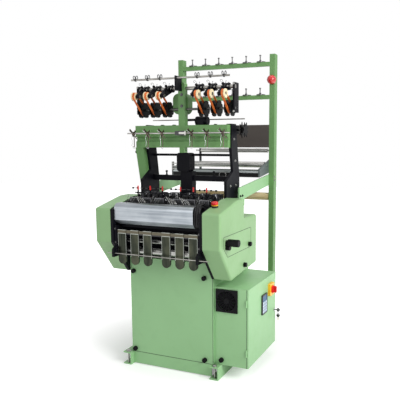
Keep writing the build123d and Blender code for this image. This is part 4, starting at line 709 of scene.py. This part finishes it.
def column_trim():
    """Slotted steel plates beside the column head, and a bent hook and two pegs on the cross bar."""
    level = 1.335
    front = surface("support_frame", (MAST_X, -FAR, level), TO_REAR)
    x, y, _ = surface("support_frame", (-0.15, front.y + 0.02, level), TO_RIGHT)
    spans = [((x - 0.042, y - 0.012, z), (x + 0.002, y + 0.012, z + 0.006)) for z in (1.300, 1.318, 1.336)]
    spans.append(((x - 0.044, y - 0.013, 1.292), (x - 0.038, y + 0.013, 1.350)))
    bars("column_plates", spans, "polished_steel")
    bar_y, above = -0.1225, 1.30
    x, y, z = surface("support_frame", (0.20, bar_y, above), DOWN)
    hook = [(x, y, z - 0.004), (x, y, z + 0.016), (x + 0.012, y - 0.004, z + 0.028),
            (x + 0.045, y - 0.008, z + 0.026), (x + 0.058, y - 0.010, z + 0.010),
            (x + 0.050, y - 0.012, z + 0.002)]
    wires("bar_hook", [hook], 0.0016, "polished_steel")
    pegs = bmesh.new()
    peg = [(0, -0.002), (0.008, -0.002), (0.008, 0.004), (0.005, 0.006), (0.005, 0.020), (0.008, 0.022),
           (0.008, 0.030), (0.006, 0.032), (0, 0.032)]
    for x in (0.16, -0.20):
        turned(pegs, peg, Matrix.Translation(surface("support_frame", (x, bar_y, above), DOWN)), 20)
    solid("bar_pegs", pegs, "black_plastic")


def stand_trim():
    """A grip knob on the left leg and hex nuts beside the yarn pins."""
    knob = bmesh.new()
    grip = [(0, -0.002), (0.005, -0.002), (0.005, 0.004), (0.010, 0.006), (0.011, 0.009), (0.011, 0.015),
            (0.009, 0.018), (0, 0.018)]
    place = surface("front_beam", (-FAR, -0.2012, 1.415), TO_RIGHT)
    turned(knob, grip, upright(place, TO_LEFT))
    solid("leg_knob", knob, "black_plastic")
    nuts = bmesh.new()
    low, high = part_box("yarn_pins")
    inset, beside = 0.027, 0.034
    pitch = (high[0] - low[0] - 2 * inset) / 5
    middle = (low[1] + high[1]) / 2
    for above in (2.3, 1.9):
        for index in range(6):
            x = low[0] + inset + pitch * index + beside
            hex_screw(nuts, surface("rear_stand", (x, middle, above), DOWN), UP, 0.006)
    solid("pin_nuts", nuts, "pin_steel")


def seam_shadow_strips():
    """Thin dark strips laid in the seams of the hatch, the front panel and the cabinet door as painted shade.
    """
    low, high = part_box("access_hatch")
    flange, corner, sink = 0.006, 0.06, 0.0006
    x = high[0] - sink
    front, rear = low[1] + flange, high[1] - flange
    foot, top = low[2] + flange, high[2] - flange
    loop = [(x, front, top), (x, rear, top), (x, rear, foot), (x, front + corner, foot),
            (x, front, foot + corner)]
    lines = list(zip(loop, loop[1:] + loop[:1]))
    low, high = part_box("front_panel")
    y = low[1] + sink
    lines += [((low[0], y, low[2]), (high[0], y, low[2])), ((high[0], y, low[2]), (high[0], y, high[2]))]
    low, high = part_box("cabinet_door")
    edge = high[0] - 0.011
    y = surface("electrical_cabinet", (edge - 0.003, -FAR, low[2] + 0.02), TO_REAR).y + sink
    lines.append(((edge, y, low[2]), (edge, y, high[2])))
    routes = [[start, tuple((a + b) / 2 for a, b in zip(start, end)), end] for start, end in lines]
    # The strips are painted shade in the seam gaps, drawn in the dark rubber finish.
    wires("seam_shade_lines", routes, 0.0016, "belt_rubber")


# Studio

def lamp(name, place, target, size, power):
    """A white area lamp that faces a target."""
    light = bpy.data.lights.new(name, "AREA")
    light.size = size
    light.energy = power
    holder = bpy.data.objects.new(name, light)
    holder.location = place
    holder.rotation_euler = (Vector(target) - Vector(place)).to_track_quat("-Z", "Y").to_euler()
    bpy.context.collection.objects.link(holder)


def studio():
    """A white floor and world with three soft lamps."""
    floor = bpy.data.meshes.new("studio_floor")
    sheet = bmesh.new()
    bmesh.ops.create_grid(sheet, x_segments=1, y_segments=1, size=14.0)
    sheet.to_mesh(floor)
    sheet.free()
    ground = bpy.data.objects.new("studio_floor", floor)
    bpy.context.collection.objects.link(ground)
    pale = Finish("studio_floor")
    away = pale.node("ShaderNodeVectorMath", {"operation": "LENGTH"}, {0: pale.place}, "Value")
    seen = pale.node("ShaderNodeLightPath", {}, {}, "Is Camera Ray")
    seen = seen + pale.node("ShaderNodeLightPath", {}, {}, "Is Glossy Ray")
    seen = seen + pale.node("ShaderNodeLightPath", {}, {}, "Is Transmission Ray")
    glow = pale.span(away, 0.55, 1.5, 0.28, 1.0) * seen
    white = pale.blend(glow, (0, 0, 0, 1), (1, 1, 1, 1))
    pale.set(Base_Color=(0.86, 0.86, 0.86, 1), Roughness=0.95, Specular_IOR_Level=0.0,
             Emission_Color=white, Emission_Strength=1.0)
    floor.materials.append(pale.material)

    world = bpy.data.worlds.new("studio")
    bpy.context.scene.world = world
    world.use_nodes = True
    nodes, links = world.node_tree.nodes, world.node_tree.links
    path = nodes.new("ShaderNodeLightPath")
    seen = nodes.new("ShaderNodeMath")
    seen.operation = "MAXIMUM"
    links.new(path.outputs["Is Camera Ray"], seen.inputs[0])
    links.new(path.outputs["Is Transmission Ray"], seen.inputs[1])
    shown = nodes.new("ShaderNodeMath")
    shown.operation = "MAXIMUM"
    links.new(seen.outputs[0], shown.inputs[0])
    links.new(path.outputs["Is Glossy Ray"], shown.inputs[1])
    level = nodes.new("ShaderNodeMapRange")
    level.inputs["To Min"].default_value = 0.34
    level.inputs["To Max"].default_value = 1.0
    links.new(shown.outputs[0], level.inputs["Value"])
    links.new(level.outputs[0], nodes["Background"].inputs["Strength"])
    nodes["Background"].inputs["Color"].default_value = (1, 1, 1, 1)

    lamp("key_light", (4.2, -1.6, 3.0), (0.2, 0.0, 1.0), 2.6, 215.0)
    lamp("front_light", (-1.2, -5.0, 2.4), (0.0, -0.2, 1.0), 3.0, 50.0)
    lamp("top_light", (0.0, 0.2, 5.0), (0.0, 0.0, 1.0), 3.0, 45.0)


def camera():
    """The photo's viewpoint."""
    lens = bpy.data.cameras.new("photo_view")
    lens.sensor_width = 36.0
    lens.lens = 47.2
    lens.shift_x = -0.0898
    lens.shift_y = 0.043
    holder = bpy.data.objects.new("photo_view", lens)
    holder.location = (1.6567, -3.3021, 1.4651)
    holder.rotation_euler = (radians(90 - 7.89), 0, radians(22.79))
    bpy.context.collection.objects.link(holder)
    bpy.context.scene.camera = holder


camera()
studio()
dress_nodes()
fasteners()
feeder_trim()
feeler_trim()
perches = head_trim()
clip_trim()
head_cables()
guide_eyes(perches)
outer_cables()
column_trim()
stand_trim()
seam_shadow_strips()
bpy.context.scene.view_settings.view_transform = "Standard"
